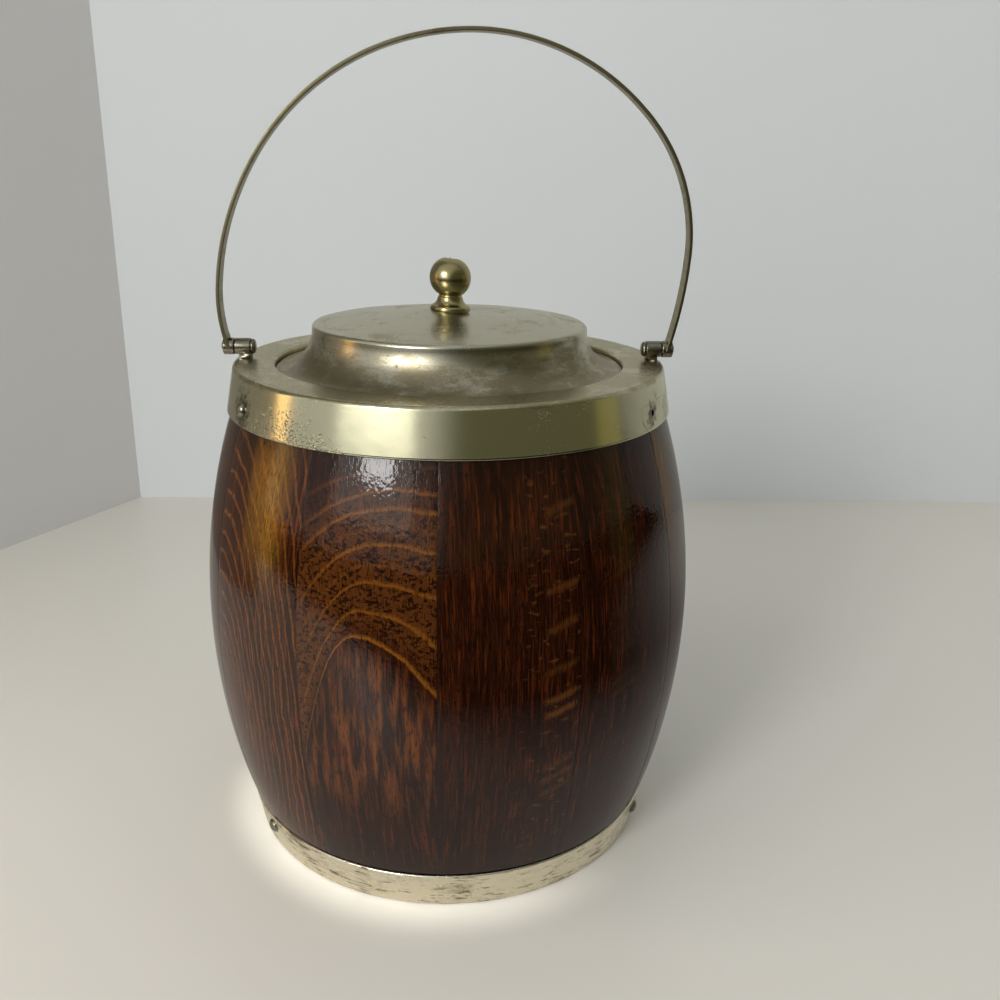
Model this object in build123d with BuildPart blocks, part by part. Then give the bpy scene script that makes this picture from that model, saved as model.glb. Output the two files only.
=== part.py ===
"""Biscuit jar: a coopered oak barrel with a glazed liner, a nickel-silver rim, foot and lid,
and a bail handle that swings on two rim hinges.

The jar stands on z = 0 with its axis on Z. The front is -Y, and the bail swings about X.
"""

from build123d import *
import math
import os

os.makedirs("parts", exist_ok=True)

# ---------------------------------------------------------------- driving dimensions, mm
# Oak barrel
belly_radius = 70.0  # widest radius of the barrel
belly_height = 67.0  # height of the widest place
stave_bow = 181.5  # radius of the lengthwise curve of a stave
stave_thickness = 6.4
stave_count = 12
stave_phase = -2.6  # degrees from the front to the nearest stave joint
throat_relief = 0.4  # room inside the staves' upper ends for the collar's throat
throat_inset = 1.1  # the collar's opening is this far inside the staves' bore

# Bottom board, let into a groove (croze) in the staves
board_height = 8.0
board_thickness = 6.0
board_tongue = 4.0
croze_depth = 2.4
board_play = 0.15

# Glazed liner
liner_wall = 3.6
liner_floor = 4.5
liner_gap = 2.6  # between the liner's rim and the staves
liner_taper = 2.0  # how much narrower the liner is at its floor
liner_corner = 9.0  # outer bottom corner
liner_inner_corner = 7.0
liner_lip_round = 1.4

# Rim collar, spun from sheet
rim_height = 137.3  # top face of the collar
rim_sheet = 1.0
rim_skirt_depth = 11.7
rim_skirt_flare = 2.2  # the skirt's lower edge is this far outside its upper one
rim_skirt_play = 0.3  # between the skirt's lower edge and the oak
rim_edge_round = 1.2
throat_depth = 2.2  # from the top face down to the ledge that carries the lid
throat_round = 0.5
opening_round = 0.9

# Base ring
ring_sheet = 1.0
ring_height = 10.9
ring_inset = 0.1  # the ring's top edge is this far inside the oak's surface above it
ring_flare = 2.1  # the ring's top edge is this far outside its foot
ring_lip = 6.2  # width of the lip that the staves stand on
ring_foot_round = 1.2
ring_shadow_gap = 0.9  # between the ring's top edge and the shoulder in the oak
ring_seat_play = 0.05

# Round-headed pins that hold the collar and the ring, placed by hand, in degrees from the front
rim_pin_angles = (-60.0, 58.4, 180.0)
ring_pin_angles = (-57.0, 64.0, 184.0)
lost_pin_index = 1  # this collar pin has been lost, and only its hole is left
pin_head_radius = 2.0
pin_head_rise = 1.3
pin_shank_radius = 0.75
pin_length = 4.6
pin_play = 0.05
rim_pin_drop = 7.8  # below the collar's top face
ring_pin_drop = 3.8  # below the ring's top edge

# Lid
lid_sheet = 0.9
lid_play = 1.0  # between the lid's edge and the collar's opening
lid_flange_width = 1.3
lid_cove_width = 7.9
lid_cove_rise = 10.4
lid_cove_radius = 10.5
lid_shoulder_round = 1.1
lid_dome_rise = 3.0  # from the shoulder's round to the crown of the dome
bezel_play = 0.6  # between the bezel and the liner's mouth
bezel_sheet = 0.8
bezel_depth = 6.5  # below the ledge

# Knob, with its spigot, washer and nut; heights are above the lid
knob_ball_radius = 5.7
knob_ball_height = 9.0
knob_foot_radius = 5.6
knob_foot_rise = 1.5
knob_foot_edge = 0.42  # how far the foot's round draws in above and below
knob_foot_belly = 0.675  # height of the foot's widest place
knob_neck_radius = 3.45
knob_neck_height = 3.7
knob_flare_height = 2.4  # middle of the flare between foot and neck
knob_flare_width = 0.45  # the flare's middle is this far outside the neck
knob_bead_radius = 3.95
knob_bead_height = 4.6
spigot_radius = 1.5
spigot_play = 0.1
spigot_tail = 0.9  # below the nut
washer_radius = 4.0
washer_thickness = 0.6
nut_across_flats = 5.5
nut_thickness = 2.2

# Rim hinges of the bail
hinge_height = 3.0  # hinge axis above the collar
hinge_overhang = 1.8  # middle of the bail knuckle outside the collar's edge
knuckle_radius = 2.3
knuckle_length = 3.1
knuckle_round = 0.35
knuckle_gap = 0.15  # between the bail knuckle and the lug
lug_radius = 2.25
lug_length = 4.3
lug_round = 0.3
lug_saddle_width = 3.6
lug_foot_width = 5.2
lug_foot_height = 0.75
lug_foot_inset = 0.3  # the foot is this much shorter than the lug at its inner end
hinge_pin_radius = 1.0
hinge_pin_running = 0.05  # radial clearance in the bail knuckle
hinge_head_radius = 2.05
hinge_head_length = 1.15
hinge_head_chamfer = 0.45
hinge_rivet_radius = 1.5
hinge_rivet_length = 0.45
hinge_rivet_gap = 0.12

# Bail strip, flat inside and crowned outside
bail_width = 5.0
bail_thickness = 1.35
bail_crowning = 0.4
bail_rise = 81.6  # crown of the strip's middle line above the hinge axis
bail_lean = 6.5  # the crown has been pulled this far to the right
bail_bow_right = 4.4  # how far the right side bows out from its foot
bail_bow_right_height = 25.7
bail_bow_left = 1.8
bail_bow_left_height = 16.7
bail_foot_drop = 0.4  # the strip's ends reach this far below the hinge axis
bail_foot_round = 0.7
# Shoulders of the arch, as shares of the way across and down from the crown to a bow
bail_shoulder_right = (0.784, 0.364)
bail_shoulder_left = (0.424, 0.101)
bail_haunch_left = (0.819, 0.463)


def barrel_radius(z):
    """Outer radius of the turned oak at height z."""
    return belly_radius - stave_bow + math.sqrt(stave_bow**2 - (z - belly_height) ** 2)


def bore_radius(z):
    """Inner radius of the staves at height z."""
    inner_bow = stave_bow - stave_thickness
    return belly_radius - stave_bow + math.sqrt(inner_bow**2 - (z - belly_height) ** 2)


# ---------------------------------------------------------------- derived places
front = -90.0  # the front's angle about Z, measured from +X
stave_angle = 360 / stave_count
stave_foot = ring_sheet
stave_top = rim_height - rim_sheet
ledge_height = rim_height - throat_depth
ledge_underside = ledge_height - rim_sheet

# Collar
rim_skirt_height = rim_height - rim_skirt_depth
rim_skirt_radius = barrel_radius(rim_skirt_height) + rim_skirt_play + rim_sheet
rim_edge_radius = rim_skirt_radius - rim_skirt_flare
rim_lean = -rim_skirt_flare / rim_skirt_depth
rim_opening_radius = bore_radius(stave_top) - throat_inset
relief_radius = rim_opening_radius + rim_sheet + throat_relief
rim_pin_height = rim_height - rim_pin_drop
rim_pin_radius = rim_edge_radius - rim_lean * rim_pin_drop

# Base ring
ring_shoulder = ring_height + ring_shadow_gap
ring_top_radius = barrel_radius(ring_shoulder) - ring_inset
ring_foot_radius = ring_top_radius - ring_flare
ring_lean = ring_flare / ring_height
ring_depth = ring_sheet * math.hypot(1, ring_lean) + ring_seat_play  # level, through the sheet
ring_pin_height = ring_height - ring_pin_drop
ring_pin_radius = ring_top_radius - ring_lean * ring_pin_drop

# Liner and lid
liner_seat = board_height + board_thickness
liner_rim_radius = bore_radius(ledge_underside) - liner_gap
liner_mouth_radius = liner_rim_radius - liner_wall
lid_radius = rim_opening_radius - lid_play
lid_flange_top = ledge_height + lid_sheet
lid_shoulder_radius = lid_radius - lid_flange_width - lid_cove_width
lid_shoulder_height = lid_flange_top + lid_cove_rise
lid_dome_height = lid_shoulder_height + lid_shoulder_round + lid_dome_rise
bezel_radius = liner_mouth_radius - bezel_play

# Rim hinges
hinge_z = rim_height + hinge_height
knuckle_x = rim_edge_radius + hinge_overhang
lug_outer_x = knuckle_x - knuckle_length / 2 - knuckle_gap
lug_inner_x = lug_outer_x - lug_length
rivet_x = knuckle_x + knuckle_length / 2 + hinge_rivet_gap


def meridian(angle):
    """A plane through the jar's axis: its x points outwards at this angle, its y points up."""
    turn = math.radians(angle)
    return Plane(
        origin=(0, 0, 0),
        x_dir=(math.cos(turn), math.sin(turn), 0),
        z_dir=(math.sin(turn), -math.cos(turn), 0),
    )


def pin_seats(angles, radius, lean, height):
    """Planes on the outside of a ring, one for each pin, with z pointing out of the surface."""
    seats = []
    for angle in angles:
        turn = math.radians(front + angle)
        across, along = math.cos(turn), math.sin(turn)
        seats.append(
            Plane(
                origin=(radius * across, radius * along, height),
                x_dir=(-along, across, 0),
                z_dir=(across, along, -lean),
            )
        )
    return seats


def save(piece, name):
    """Label a finished piece and write it as its own STEP file."""
    piece.part.label = name
    export_step(piece.part, f"parts/{name}.step")


# ---------------------------------------------------------------- pins
rim_seats = pin_seats(rim_pin_angles, rim_pin_radius, rim_lean, rim_pin_height)
ring_seats = pin_seats(ring_pin_angles, ring_pin_radius, ring_lean, ring_pin_height)
held_seats = [seat for index, seat in enumerate(rim_seats) if index != lost_pin_index]
groove_radius = bore_radius(board_height) + croze_depth

with BuildPart() as pin_holes:
    for seat in rim_seats + ring_seats:
        with BuildSketch(seat.offset(pin_head_rise)):
            Circle(pin_shank_radius + pin_play)
        extrude(amount=-(pin_head_rise + pin_length + pin_play))


def build_pins(seats):
    """Pins with domed heads, driven in from the outside."""
    with BuildPart() as pins:
        for seat in seats:
            with BuildSketch(seat):
                Circle(pin_shank_radius)
            extrude(amount=-pin_length)
            with BuildSketch(Plane(origin=seat.origin, x_dir=seat.x_dir, z_dir=-seat.y_dir)):
                with BuildLine():
                    TangentArc((0, pin_head_rise), (pin_head_radius, 0), tangent=(1, 0))
                    Polyline((0, pin_head_rise), (0, 0), (pin_head_radius, 0))
                make_face()
            revolve(axis=Axis(seat.origin, seat.z_dir))
    return pins


save(build_pins(held_seats), "rim_pins")
save(build_pins(ring_seats), "base_pins")

# ---------------------------------------------------------------- oak staves
for stave_index in range(stave_count):
    with BuildPart() as stave:
        with BuildSketch(meridian(front + stave_phase + stave_index * stave_angle)):
            with BuildLine():
                outside = ThreePointArc(
                    (barrel_radius(stave_foot), stave_foot),
                    (belly_radius, belly_height),
                    (barrel_radius(stave_top), stave_top),
                )
                inside = ThreePointArc(
                    (bore_radius(stave_foot), stave_foot),
                    (belly_radius - stave_thickness, belly_height),
                    (bore_radius(stave_top), stave_top),
                )
                Line(outside @ 0, inside @ 0)
                Line(outside @ 1, inside @ 1)
            make_face()
            # Rebate that lets the base ring in.
            with BuildLine():
                Polyline(
                    (ring_foot_radius - ring_depth, 0),
                    (ring_foot_radius + ring_lean * ring_shoulder - ring_depth, ring_shoulder),
                    (belly_radius, ring_shoulder),
                    (belly_radius, 0),
                    close=True,
                )
            make_face(mode=Mode.SUBTRACT)
            # Relief for the collar's throat.
            with BuildLine():
                Polyline(
                    (0, ledge_underside - throat_relief),
                    (relief_radius, ledge_underside - throat_relief),
                    (relief_radius, rim_height),
                    (0, rim_height),
                    close=True,
                )
            make_face(mode=Mode.SUBTRACT)
            # Groove for the bottom board.
            with BuildLine():
                Polyline(
                    (0, board_height),
                    (groove_radius, board_height),
                    (groove_radius, board_height + board_tongue),
                    (0, board_height + board_tongue),
                    close=True,
                )
            make_face(mode=Mode.SUBTRACT)
        revolve(axis=Axis.Z, revolution_arc=stave_angle)
        add(pin_holes.part, mode=Mode.SUBTRACT)
    save(stave, f"stave_{stave_index + 1:02d}")

# ---------------------------------------------------------------- bottom board
with BuildPart() as bottom_board:
    with BuildSketch(Plane.XY.offset(board_height)):
        Circle(groove_radius - board_play)
    extrude(amount=board_tongue)
    with BuildSketch(Plane.XY.offset(board_height + board_tongue)):
        Circle(bore_radius(board_height + board_tongue) - board_play)
    extrude(amount=board_thickness - board_tongue)
save(bottom_board, "bottom_board")

# ---------------------------------------------------------------- glazed liner
with BuildPart() as ceramic_liner:
    with BuildSketch(Plane.XZ):
        floor_top = liner_seat + liner_floor
        with BuildLine():
            section = FilletPolyline(
                (0, liner_seat),
                (liner_rim_radius - liner_taper, liner_seat),
                (liner_rim_radius, ledge_underside),
                (liner_mouth_radius, ledge_underside),
                (liner_mouth_radius - liner_taper, floor_top),
                (0, floor_top),
                radius=[liner_corner, liner_lip_round, liner_lip_round, liner_inner_corner],
            )
            Line(section @ 1, section @ 0)
        make_face()
    revolve(axis=Axis.Z)
save(ceramic_liner, "ceramic_liner")

# ---------------------------------------------------------------- rim collar
with BuildPart() as rim_collar:
    with BuildSketch(Plane.XZ):
        with BuildLine():
            FilletPolyline(
                (liner_mouth_radius, ledge_height),
                (rim_opening_radius, ledge_height),
                (rim_opening_radius, rim_height),
                (rim_edge_radius, rim_height),
                (rim_skirt_radius, rim_skirt_height),
                radius=[throat_round, opening_round, rim_edge_round],
            )
            offset(amount=rim_sheet, side=Side.RIGHT)
        make_face()
    revolve(axis=Axis.Z)
    add(pin_holes.part, mode=Mode.SUBTRACT)
save(rim_collar, "rim_collar")

# ---------------------------------------------------------------- base ring
with BuildPart() as base_ring:
    with BuildSketch(Plane.XZ):
        with BuildLine():
            FilletPolyline(
                (ring_foot_radius - ring_lip, 0),
                (ring_foot_radius, 0),
                (ring_top_radius, ring_height),
                radius=ring_foot_round,
            )
            offset(amount=ring_sheet, side=Side.LEFT)
        make_face()
    revolve(axis=Axis.Z)
    add(pin_holes.part, mode=Mode.SUBTRACT)
save(base_ring, "base_ring")

# ---------------------------------------------------------------- lid
cove_foot = (lid_radius - lid_flange_width, lid_flange_top)
cove_top = (lid_shoulder_radius, lid_shoulder_height)
dome_edge = (lid_shoulder_radius - lid_shoulder_round, lid_shoulder_height + lid_shoulder_round)
with BuildPart() as lid_cover:
    with BuildSketch(Plane.XZ):
        with BuildLine():
            Line((lid_radius, lid_flange_top), cove_foot)
            cove = RadiusArc(cove_foot, cove_top, lid_cove_radius)
            TangentArc(cove_top, dome_edge, tangent=cove % 1)
            TangentArc((0, lid_dome_height), dome_edge, tangent=(1, 0))
            offset(amount=lid_sheet, side=Side.LEFT)
        make_face()
    revolve(axis=Axis.Z)
    with BuildSketch(Plane.XY.offset(lid_dome_height)):
        Circle(spigot_radius + spigot_play)
    extrude(amount=-lid_dome_rise, mode=Mode.SUBTRACT)
save(lid_cover, "lid_cover")

# The bezel is brazed under the cove, so its upper end follows the cove's underside.
with BuildPart() as lid_bezel:
    with BuildSketch(Plane.XY.offset(ledge_height - bezel_depth)):
        Circle(bezel_radius)
        Circle(bezel_radius - bezel_sheet, mode=Mode.SUBTRACT)
    extrude(until=Until.NEXT, target=lid_cover.part)
save(lid_bezel, "lid_bezel")

# ---------------------------------------------------------------- knob
dome_bow = (dome_edge[0] ** 2 + lid_dome_rise**2) / (2 * lid_dome_rise)
washer_top = lid_dome_height - lid_sheet - washer_radius**2 / (2 * dome_bow)
nut_top = washer_top - washer_thickness
spigot_end = nut_top - nut_thickness - spigot_tail
ball_centre = lid_dome_height + knob_ball_height
ball_joint = (knob_neck_radius + knob_bead_radius) / 2  # where the bead meets the ball
ball_under = math.sqrt(knob_ball_radius**2 - ball_joint**2)
with BuildPart() as lid_knob:
    with BuildSketch(Plane.XZ):
        with BuildLine():
            knob_foot = ThreePointArc(
                (knob_foot_radius - knob_foot_edge, lid_dome_height),
                (knob_foot_radius, lid_dome_height + knob_foot_belly),
                (knob_foot_radius - knob_foot_edge, lid_dome_height + knob_foot_rise),
            )
            neck = ThreePointArc(
                knob_foot @ 1,
                (knob_neck_radius + knob_flare_width, lid_dome_height + knob_flare_height),
                (knob_neck_radius, lid_dome_height + knob_neck_height),
            )
            ball_top = (0, ball_centre + knob_ball_radius)
            ball = TangentArc(ball_top, (ball_joint, ball_centre - ball_under), tangent=(1, 0))
            ThreePointArc(
                neck @ 1,
                (knob_bead_radius, lid_dome_height + knob_bead_height),
                ball @ 1,
            )
            Polyline(
                ball @ 0,
                (0, spigot_end),
                (spigot_radius, spigot_end),
                (spigot_radius, lid_dome_height),
                knob_foot @ 0,
            )
        make_face()
    revolve(axis=Axis.Z)
save(lid_knob, "lid_knob")

with BuildPart() as knob_washer:
    with BuildSketch(Plane.XY.offset(nut_top)):
        Circle(washer_radius)
        Circle(spigot_radius + spigot_play, mode=Mode.SUBTRACT)
    extrude(amount=washer_thickness)
save(knob_washer, "knob_washer")

with BuildPart() as knob_nut:
    with BuildSketch(Plane.XY.offset(nut_top)):
        RegularPolygon(nut_across_flats / 2, 6, major_radius=False)
        Circle(spigot_radius, mode=Mode.SUBTRACT)
    extrude(amount=-nut_thickness)
save(knob_nut, "knob_nut")

# ---------------------------------------------------------------- bail
crown = (bail_lean, hinge_z + bail_rise)
foot_left = (-knuckle_x, hinge_z - bail_foot_drop)
foot_right = (knuckle_x, hinge_z - bail_foot_drop)
bow_left = (-knuckle_x - bail_bow_left, hinge_z + bail_bow_left_height)
bow_right = (knuckle_x + bail_bow_right, hinge_z + bail_bow_right_height)


def between(bow, share):
    """A point on the way from the crown to a bow, at this share across and down."""
    return tuple(top + (low - top) * part for top, low, part in zip(crown, bow, share))


def arc_chain(points, heading):
    """Arcs through the points, each tangent to the one before it."""
    for start, end in zip(points, points[1:]):
        arc = TangentArc(start, end, tangent=heading)
        heading = arc % 1


with BuildLine(Plane.XZ) as left_side:
    shoulder = between(bow_left, bail_shoulder_left)
    haunch = between(bow_left, bail_haunch_left)
    arc_chain([crown, shoulder, haunch, bow_left, foot_left], (-1, 0))
with BuildLine(Plane.XZ) as right_side:
    shoulder = between(bow_right, bail_shoulder_right)
    arc_chain([crown, shoulder, bow_right, foot_right], (1, 0))

with BuildPart() as bail_strip:
    for side_line in (left_side, right_side):
        crown_plane = Plane(origin=(crown[0], 0, crown[1]), x_dir=(0, 1, 0), z_dir=(1, 0, 0))
        with BuildSketch(crown_plane):
            with BuildLine():
                half_width = bail_width / 2
                edge_top = bail_thickness / 2 - bail_crowning
                Polyline(
                    (-half_width, edge_top),
                    (-half_width, -bail_thickness / 2),
                    (half_width, -bail_thickness / 2),
                    (half_width, edge_top),
                )
                ThreePointArc(
                    (-half_width, edge_top),
                    (0, bail_thickness / 2),
                    (half_width, edge_top),
                )
            make_face()
        sweep(path=side_line.wires()[0])
    for foot_face in bail_strip.faces().sort_by(Axis.Z)[:2]:
        corners = foot_face.edges().filter_by(GeomType.LINE).filter_by(Axis.Y, reverse=True)
        fillet(corners, bail_foot_round)
    with BuildSketch(Plane.YZ.offset(-belly_radius)):
        with Locations((0, hinge_z)):
            Circle(hinge_pin_radius + hinge_pin_running)
    extrude(amount=2 * belly_radius, mode=Mode.SUBTRACT)
save(bail_strip, "bail_strip")

# ---------------------------------------------------------------- rim hinges
# The strip's ends are let into the bail knuckles. Each pin is held in its lug, and the
# bail knuckle turns on it between the lug and the pin's riveted end.
foot_outer_x = rim_edge_radius - rim_edge_round
foot_inner_x = lug_inner_x + lug_foot_inset
saddle_z = hinge_z - lug_radius / 2
for side, side_name in ((-1, "left"), (1, "right")):
    with BuildPart() as bail_knuckle:
        with BuildSketch(Plane.YZ.offset(side * (knuckle_x - knuckle_length / 2))):
            with Locations((0, hinge_z)):
                Circle(knuckle_radius)
        extrude(amount=side * knuckle_length)
        fillet(bail_knuckle.edges().filter_by(GeomType.CIRCLE), knuckle_round)
        with BuildSketch(Plane.YZ):
            with Locations((0, hinge_z)):
                Circle(hinge_pin_radius + hinge_pin_running)
        extrude(amount=side * belly_radius, mode=Mode.SUBTRACT)
        add(bail_strip.part, mode=Mode.SUBTRACT)
    save(bail_knuckle, f"bail_knuckle_{side_name}")

    with BuildPart() as hinge_lug:
        with BuildSketch(Plane.YZ.offset(side * lug_inner_x)):
            with Locations((0, hinge_z)):
                Circle(lug_radius)
        extrude(amount=side * lug_length)
        fillet(hinge_lug.edges().filter_by(GeomType.CIRCLE), lug_round)
        with BuildSketch(Plane.YZ.offset(side * foot_inner_x)):
            with BuildLine():
                Polyline(
                    (-lug_foot_width / 2, rim_height),
                    (-lug_foot_width / 2, rim_height + lug_foot_height),
                    (-lug_saddle_width / 2, saddle_z),
                    (lug_saddle_width / 2, saddle_z),
                    (lug_foot_width / 2, rim_height + lug_foot_height),
                    (lug_foot_width / 2, rim_height),
                    close=True,
                )
            make_face()
        extrude(amount=side * (foot_outer_x - foot_inner_x))
        with BuildSketch(Plane.YZ):
            with Locations((0, hinge_z)):
                Circle(hinge_pin_radius)
        extrude(amount=side * belly_radius, mode=Mode.SUBTRACT)
    save(hinge_lug, f"hinge_lug_{side_name}")

    with BuildPart() as hinge_pin:
        with BuildSketch(Plane.XZ):
            with BuildLine():
                head_x = lug_inner_x - hinge_head_length
                outline = [
                    (head_x, 0),
                    (head_x, hinge_head_radius - hinge_head_chamfer),
                    (head_x + hinge_head_chamfer, hinge_head_radius),
                    (lug_inner_x, hinge_head_radius),
                    (lug_inner_x, hinge_pin_radius),
                    (rivet_x, hinge_pin_radius),
                    (rivet_x, hinge_rivet_radius),
                ]
                points = [(side * x, hinge_z + radius) for x, radius in outline]
                rivet_tip = (side * (rivet_x + hinge_rivet_length), hinge_z)
                Polyline(*points)
                TangentArc(rivet_tip, points[-1], tangent=(0, 1))
                Line(rivet_tip, points[0])
            make_face()
        revolve(axis=Axis((0, 0, hinge_z), (1, 0, 0)))
    save(hinge_pin, f"hinge_pin_{side_name}")
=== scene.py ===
# %% [markdown]
# # A coopered oak biscuit jar, dressed over its fixed frame
# The jar is a small oak barrel with a spun metal rim and foot, a domed lid and a bail
# handle. Its construction is already settled, and each part has its place. Here the parts
# get the surfaces that the eye sees: figured oak under varnish, and worn nickel silver.
# The frame is loaded first, because every piece takes its place and its motion from it.

# %% Load the frame
import math

import bmesh
import bpy
import numpy as np
from mathutils import Matrix, Vector, noise


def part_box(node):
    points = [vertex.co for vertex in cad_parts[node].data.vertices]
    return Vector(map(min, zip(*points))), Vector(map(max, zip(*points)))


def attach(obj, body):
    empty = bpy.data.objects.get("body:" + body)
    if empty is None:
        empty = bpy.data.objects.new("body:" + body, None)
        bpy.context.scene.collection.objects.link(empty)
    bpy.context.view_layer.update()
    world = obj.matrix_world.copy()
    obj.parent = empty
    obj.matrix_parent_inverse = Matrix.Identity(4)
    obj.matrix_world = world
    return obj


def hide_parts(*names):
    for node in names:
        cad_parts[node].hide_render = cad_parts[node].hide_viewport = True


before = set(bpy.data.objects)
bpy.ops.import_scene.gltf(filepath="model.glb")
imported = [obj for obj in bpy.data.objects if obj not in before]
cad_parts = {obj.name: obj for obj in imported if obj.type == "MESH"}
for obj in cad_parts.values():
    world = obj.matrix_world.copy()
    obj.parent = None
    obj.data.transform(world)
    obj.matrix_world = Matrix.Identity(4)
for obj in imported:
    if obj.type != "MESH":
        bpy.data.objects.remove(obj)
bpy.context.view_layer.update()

MM = 0.001

# %% [markdown]
# ## The sizes that everything follows
# The outer sizes come from the frame's own boxes, so that a piece can't drift from the part
# that it dresses. Only what a box can't tell, such as the thickness of a sheet or the bow
# of a stave, is written down later, in millimetres.

# %% Sizes from the frame


def size_of(node):
    """Half width, lowest and highest point of a node, in millimetres."""
    low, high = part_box(node)
    return (high.x - low.x) / 2 / MM, low.z / MM, high.z / MM


skirt_radius, rim_foot, rim_top = size_of("rim_collar")
ring_radius, _, _ = size_of("base_ring")
lid_radius, _, lid_crown = size_of("lid_cover")
liner_radius, liner_foot, liner_top = size_of("ceramic_liner")
_, _, knob_top = size_of("lid_knob")
_, _, bail_top = size_of("bail_strip")
print(f"rim {rim_top:.1f} high, lid crown {lid_crown:.1f}, bail top {bail_top:.1f}")

# %% [markdown]
# ## Colours
# A colour is easiest to choose as a hex value, as a painter's programme shows it, but
# Blender mixes light in linear values. One function turns the first into the second.

# %% Hex colours


def rgb(code):
    """A hex colour in the linear values that Blender works in."""
    channels = [int(code[i : i + 2], 16) / 255 for i in (1, 3, 5)]
    linear = [c / 12.92 if c <= 0.04045 else ((c + 0.055) / 1.055) ** 2.4 for c in channels]
    return (*linear, 1.0)


print("mid grey is", round(rgb("#808080")[0], 3), "in linear light")

# %% [markdown]
# ## One way to add a node
# Materials and Geometry Nodes trees are both built from nodes, so one small function serves
# for all of them. It takes the kind of node and what goes into its open inputs, in their
# order: a number, a colour, or another node to link from. Settings follow by name, and a
# name with a capital letter is an input. Five kinds that are used often get short names,
# and the name of an operation, such as MULTIPLY, stands for a Math node that does it.

# %% Nodes
MIX, RANGE, VECTOR = "ShaderNodeMix", "ShaderNodeMapRange", "ShaderNodeVectorMath"
SPLIT, JOIN = "ShaderNodeSeparateXYZ", "ShaderNodeCombineXYZ"
SMOOTH = {"interpolation_type": "SMOOTHSTEP"}


def fill(tree, node, *values, **named):
    """Gives values or links to a node's inputs, in their order or by name."""
    pairs = list(zip([socket for socket in node.inputs if socket.enabled], values))
    pairs += [(node.inputs[name.replace("_", " ")], value) for name, value in named.items()]
    for socket, value in pairs:
        if isinstance(value, bpy.types.Node):
            value = next(output for output in value.outputs if output.enabled)
        if isinstance(value, bpy.types.NodeSocket):
            tree.links.new(value, socket)
        elif value is not None:
            socket.default_value = value


def add(tree, kind, *values, **settings):
    """Adds a node, with its settings and with values or links for its inputs."""
    if "Node" not in kind:
        kind, settings["operation"] = "ShaderNodeMath", kind
    node = tree.nodes.new(kind)
    named = {name: settings.pop(name) for name in list(settings) if name[0].isupper()}
    for name, value in settings.items():
        setattr(node, name, value)
    fill(tree, node, *values, **named)
    return node


print("short names:", MIX, RANGE, VECTOR, SPLIT, JOIN)

# %% [markdown]
# ## Finishing a piece
# Every piece goes through the same door. It gets smooth faces with crisp edges, its
# material, the body that it moves with, and the parts of the frame that it stands for.

# %% Objects and finished pieces


def new_object(name, mesh):
    """An object at the origin that holds this mesh."""
    piece = bpy.data.objects.new(name, mesh)
    bpy.context.scene.collection.objects.link(piece)
    return piece


def meshed(name, mesh):
    """An object that holds what was built in this bmesh, which is then freed."""
    data = bpy.data.meshes.new(name)
    mesh.to_mesh(data)
    mesh.free()
    return new_object(name, data)


def finish_piece(piece, material, body, slot, *nodes, crease=35):
    """Shades a piece, gives it its material and joins it to the frame."""
    mesh = piece.data
    mesh.materials.clear()
    mesh.materials.append(material)
    mesh.shade_smooth()
    mesh.set_sharp_from_angle(angle=math.radians(crease))
    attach(piece, body)
    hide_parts(*nodes)
    print(f"{piece.name}: {len(mesh.polygons)} faces, {material.name}")


print("nodes to be dressed:", len(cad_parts))

# %% [markdown]
# ## The barrel
# Twelve staves of one pattern stand round a circle. A cooper cuts each with the same bow
# and turns the assembled barrel on a lathe, so one rule gives them all. That is a job for
# Geometry Nodes: one stave is bent from a box, and then placed twelve times.
#
# The tree's inputs are the sizes of the barrel, so that any of them can be changed by name.

# %% Sizes of the barrel
barrel = {
    "Stave Count": 12,
    "Phase": math.radians(-2.6),
    "Belly Radius": 70.0,
    "Belly Height": 67.0,
    "Stave Bow": 181.5,
    "Thickness": 6.4,
    "Foot": 1.0,
    "Top": 136.3,
    "Shoulder": 11.8,
    "Shoulder Depth": 1.3,
    "Joint Groove": 0.07,
}
stave_rows, stave_columns, shoulder_row = 120, 30, 8


def new_tree(name, inputs, material_input):
    """An empty Geometry Nodes tree with named inputs and one output."""
    tree = bpy.data.node_groups.new(name, "GeometryNodeTree")
    for title, value in inputs.items():
        kind = "NodeSocketInt" if isinstance(value, int) else "NodeSocketFloat"
        tree.interface.new_socket(title, in_out="INPUT", socket_type=kind)
    tree.interface.new_socket(material_input, in_out="INPUT", socket_type="NodeSocketMaterial")
    tree.interface.new_socket("Geometry", in_out="OUTPUT", socket_type="NodeSocketGeometry")
    return tree


tree = new_tree("coopered_barrel", barrel, "Oak")
given = add(tree, "NodeGroupInput").outputs
print("inputs:", [socket.name for socket in given if socket.name])

# %% [markdown]
# A box of many vertices is bent by a formula. Its width becomes an angle round the jar, its
# depth runs from the outer to the inner surface, and its height follows the bow. Columns
# crowd towards the joints, where a narrow groove needs them. The lowest rows lie inside the
# metal foot, where the wood is cut back, and the others stand above that shoulder.

# %% Where a vertex of the box belongs
shoulder_step = 0.15
box = add(tree, "GeometryNodeMeshCube", None, stave_columns, 3, stave_rows)
at = add(tree, SPLIT, add(tree, "GeometryNodeInputPosition")).outputs
across = add(tree, "SINE", add(tree, "MULTIPLY", at["X"], math.pi))
row = add(tree, "ROUND", add(tree, RANGE, at["Z"], -0.5, 0.5, 0.0, stave_rows - 1.0))
is_low = add(tree, "LESS_THAN", row, shoulder_row + 0.5)
low_part = add(tree, RANGE, row, 0.0, float(shoulder_row), given["Foot"],
               add(tree, "SUBTRACT", given["Shoulder"], shoulder_step))
high_part = add(tree, RANGE, row, shoulder_row + 1.0, stave_rows - 1.0, given["Shoulder"],
                given["Top"])
height = add(tree, MIX, is_low, high_part, low_part)
print("rows:", stave_rows, "of which", shoulder_row + 1, "are inside the foot")

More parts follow.
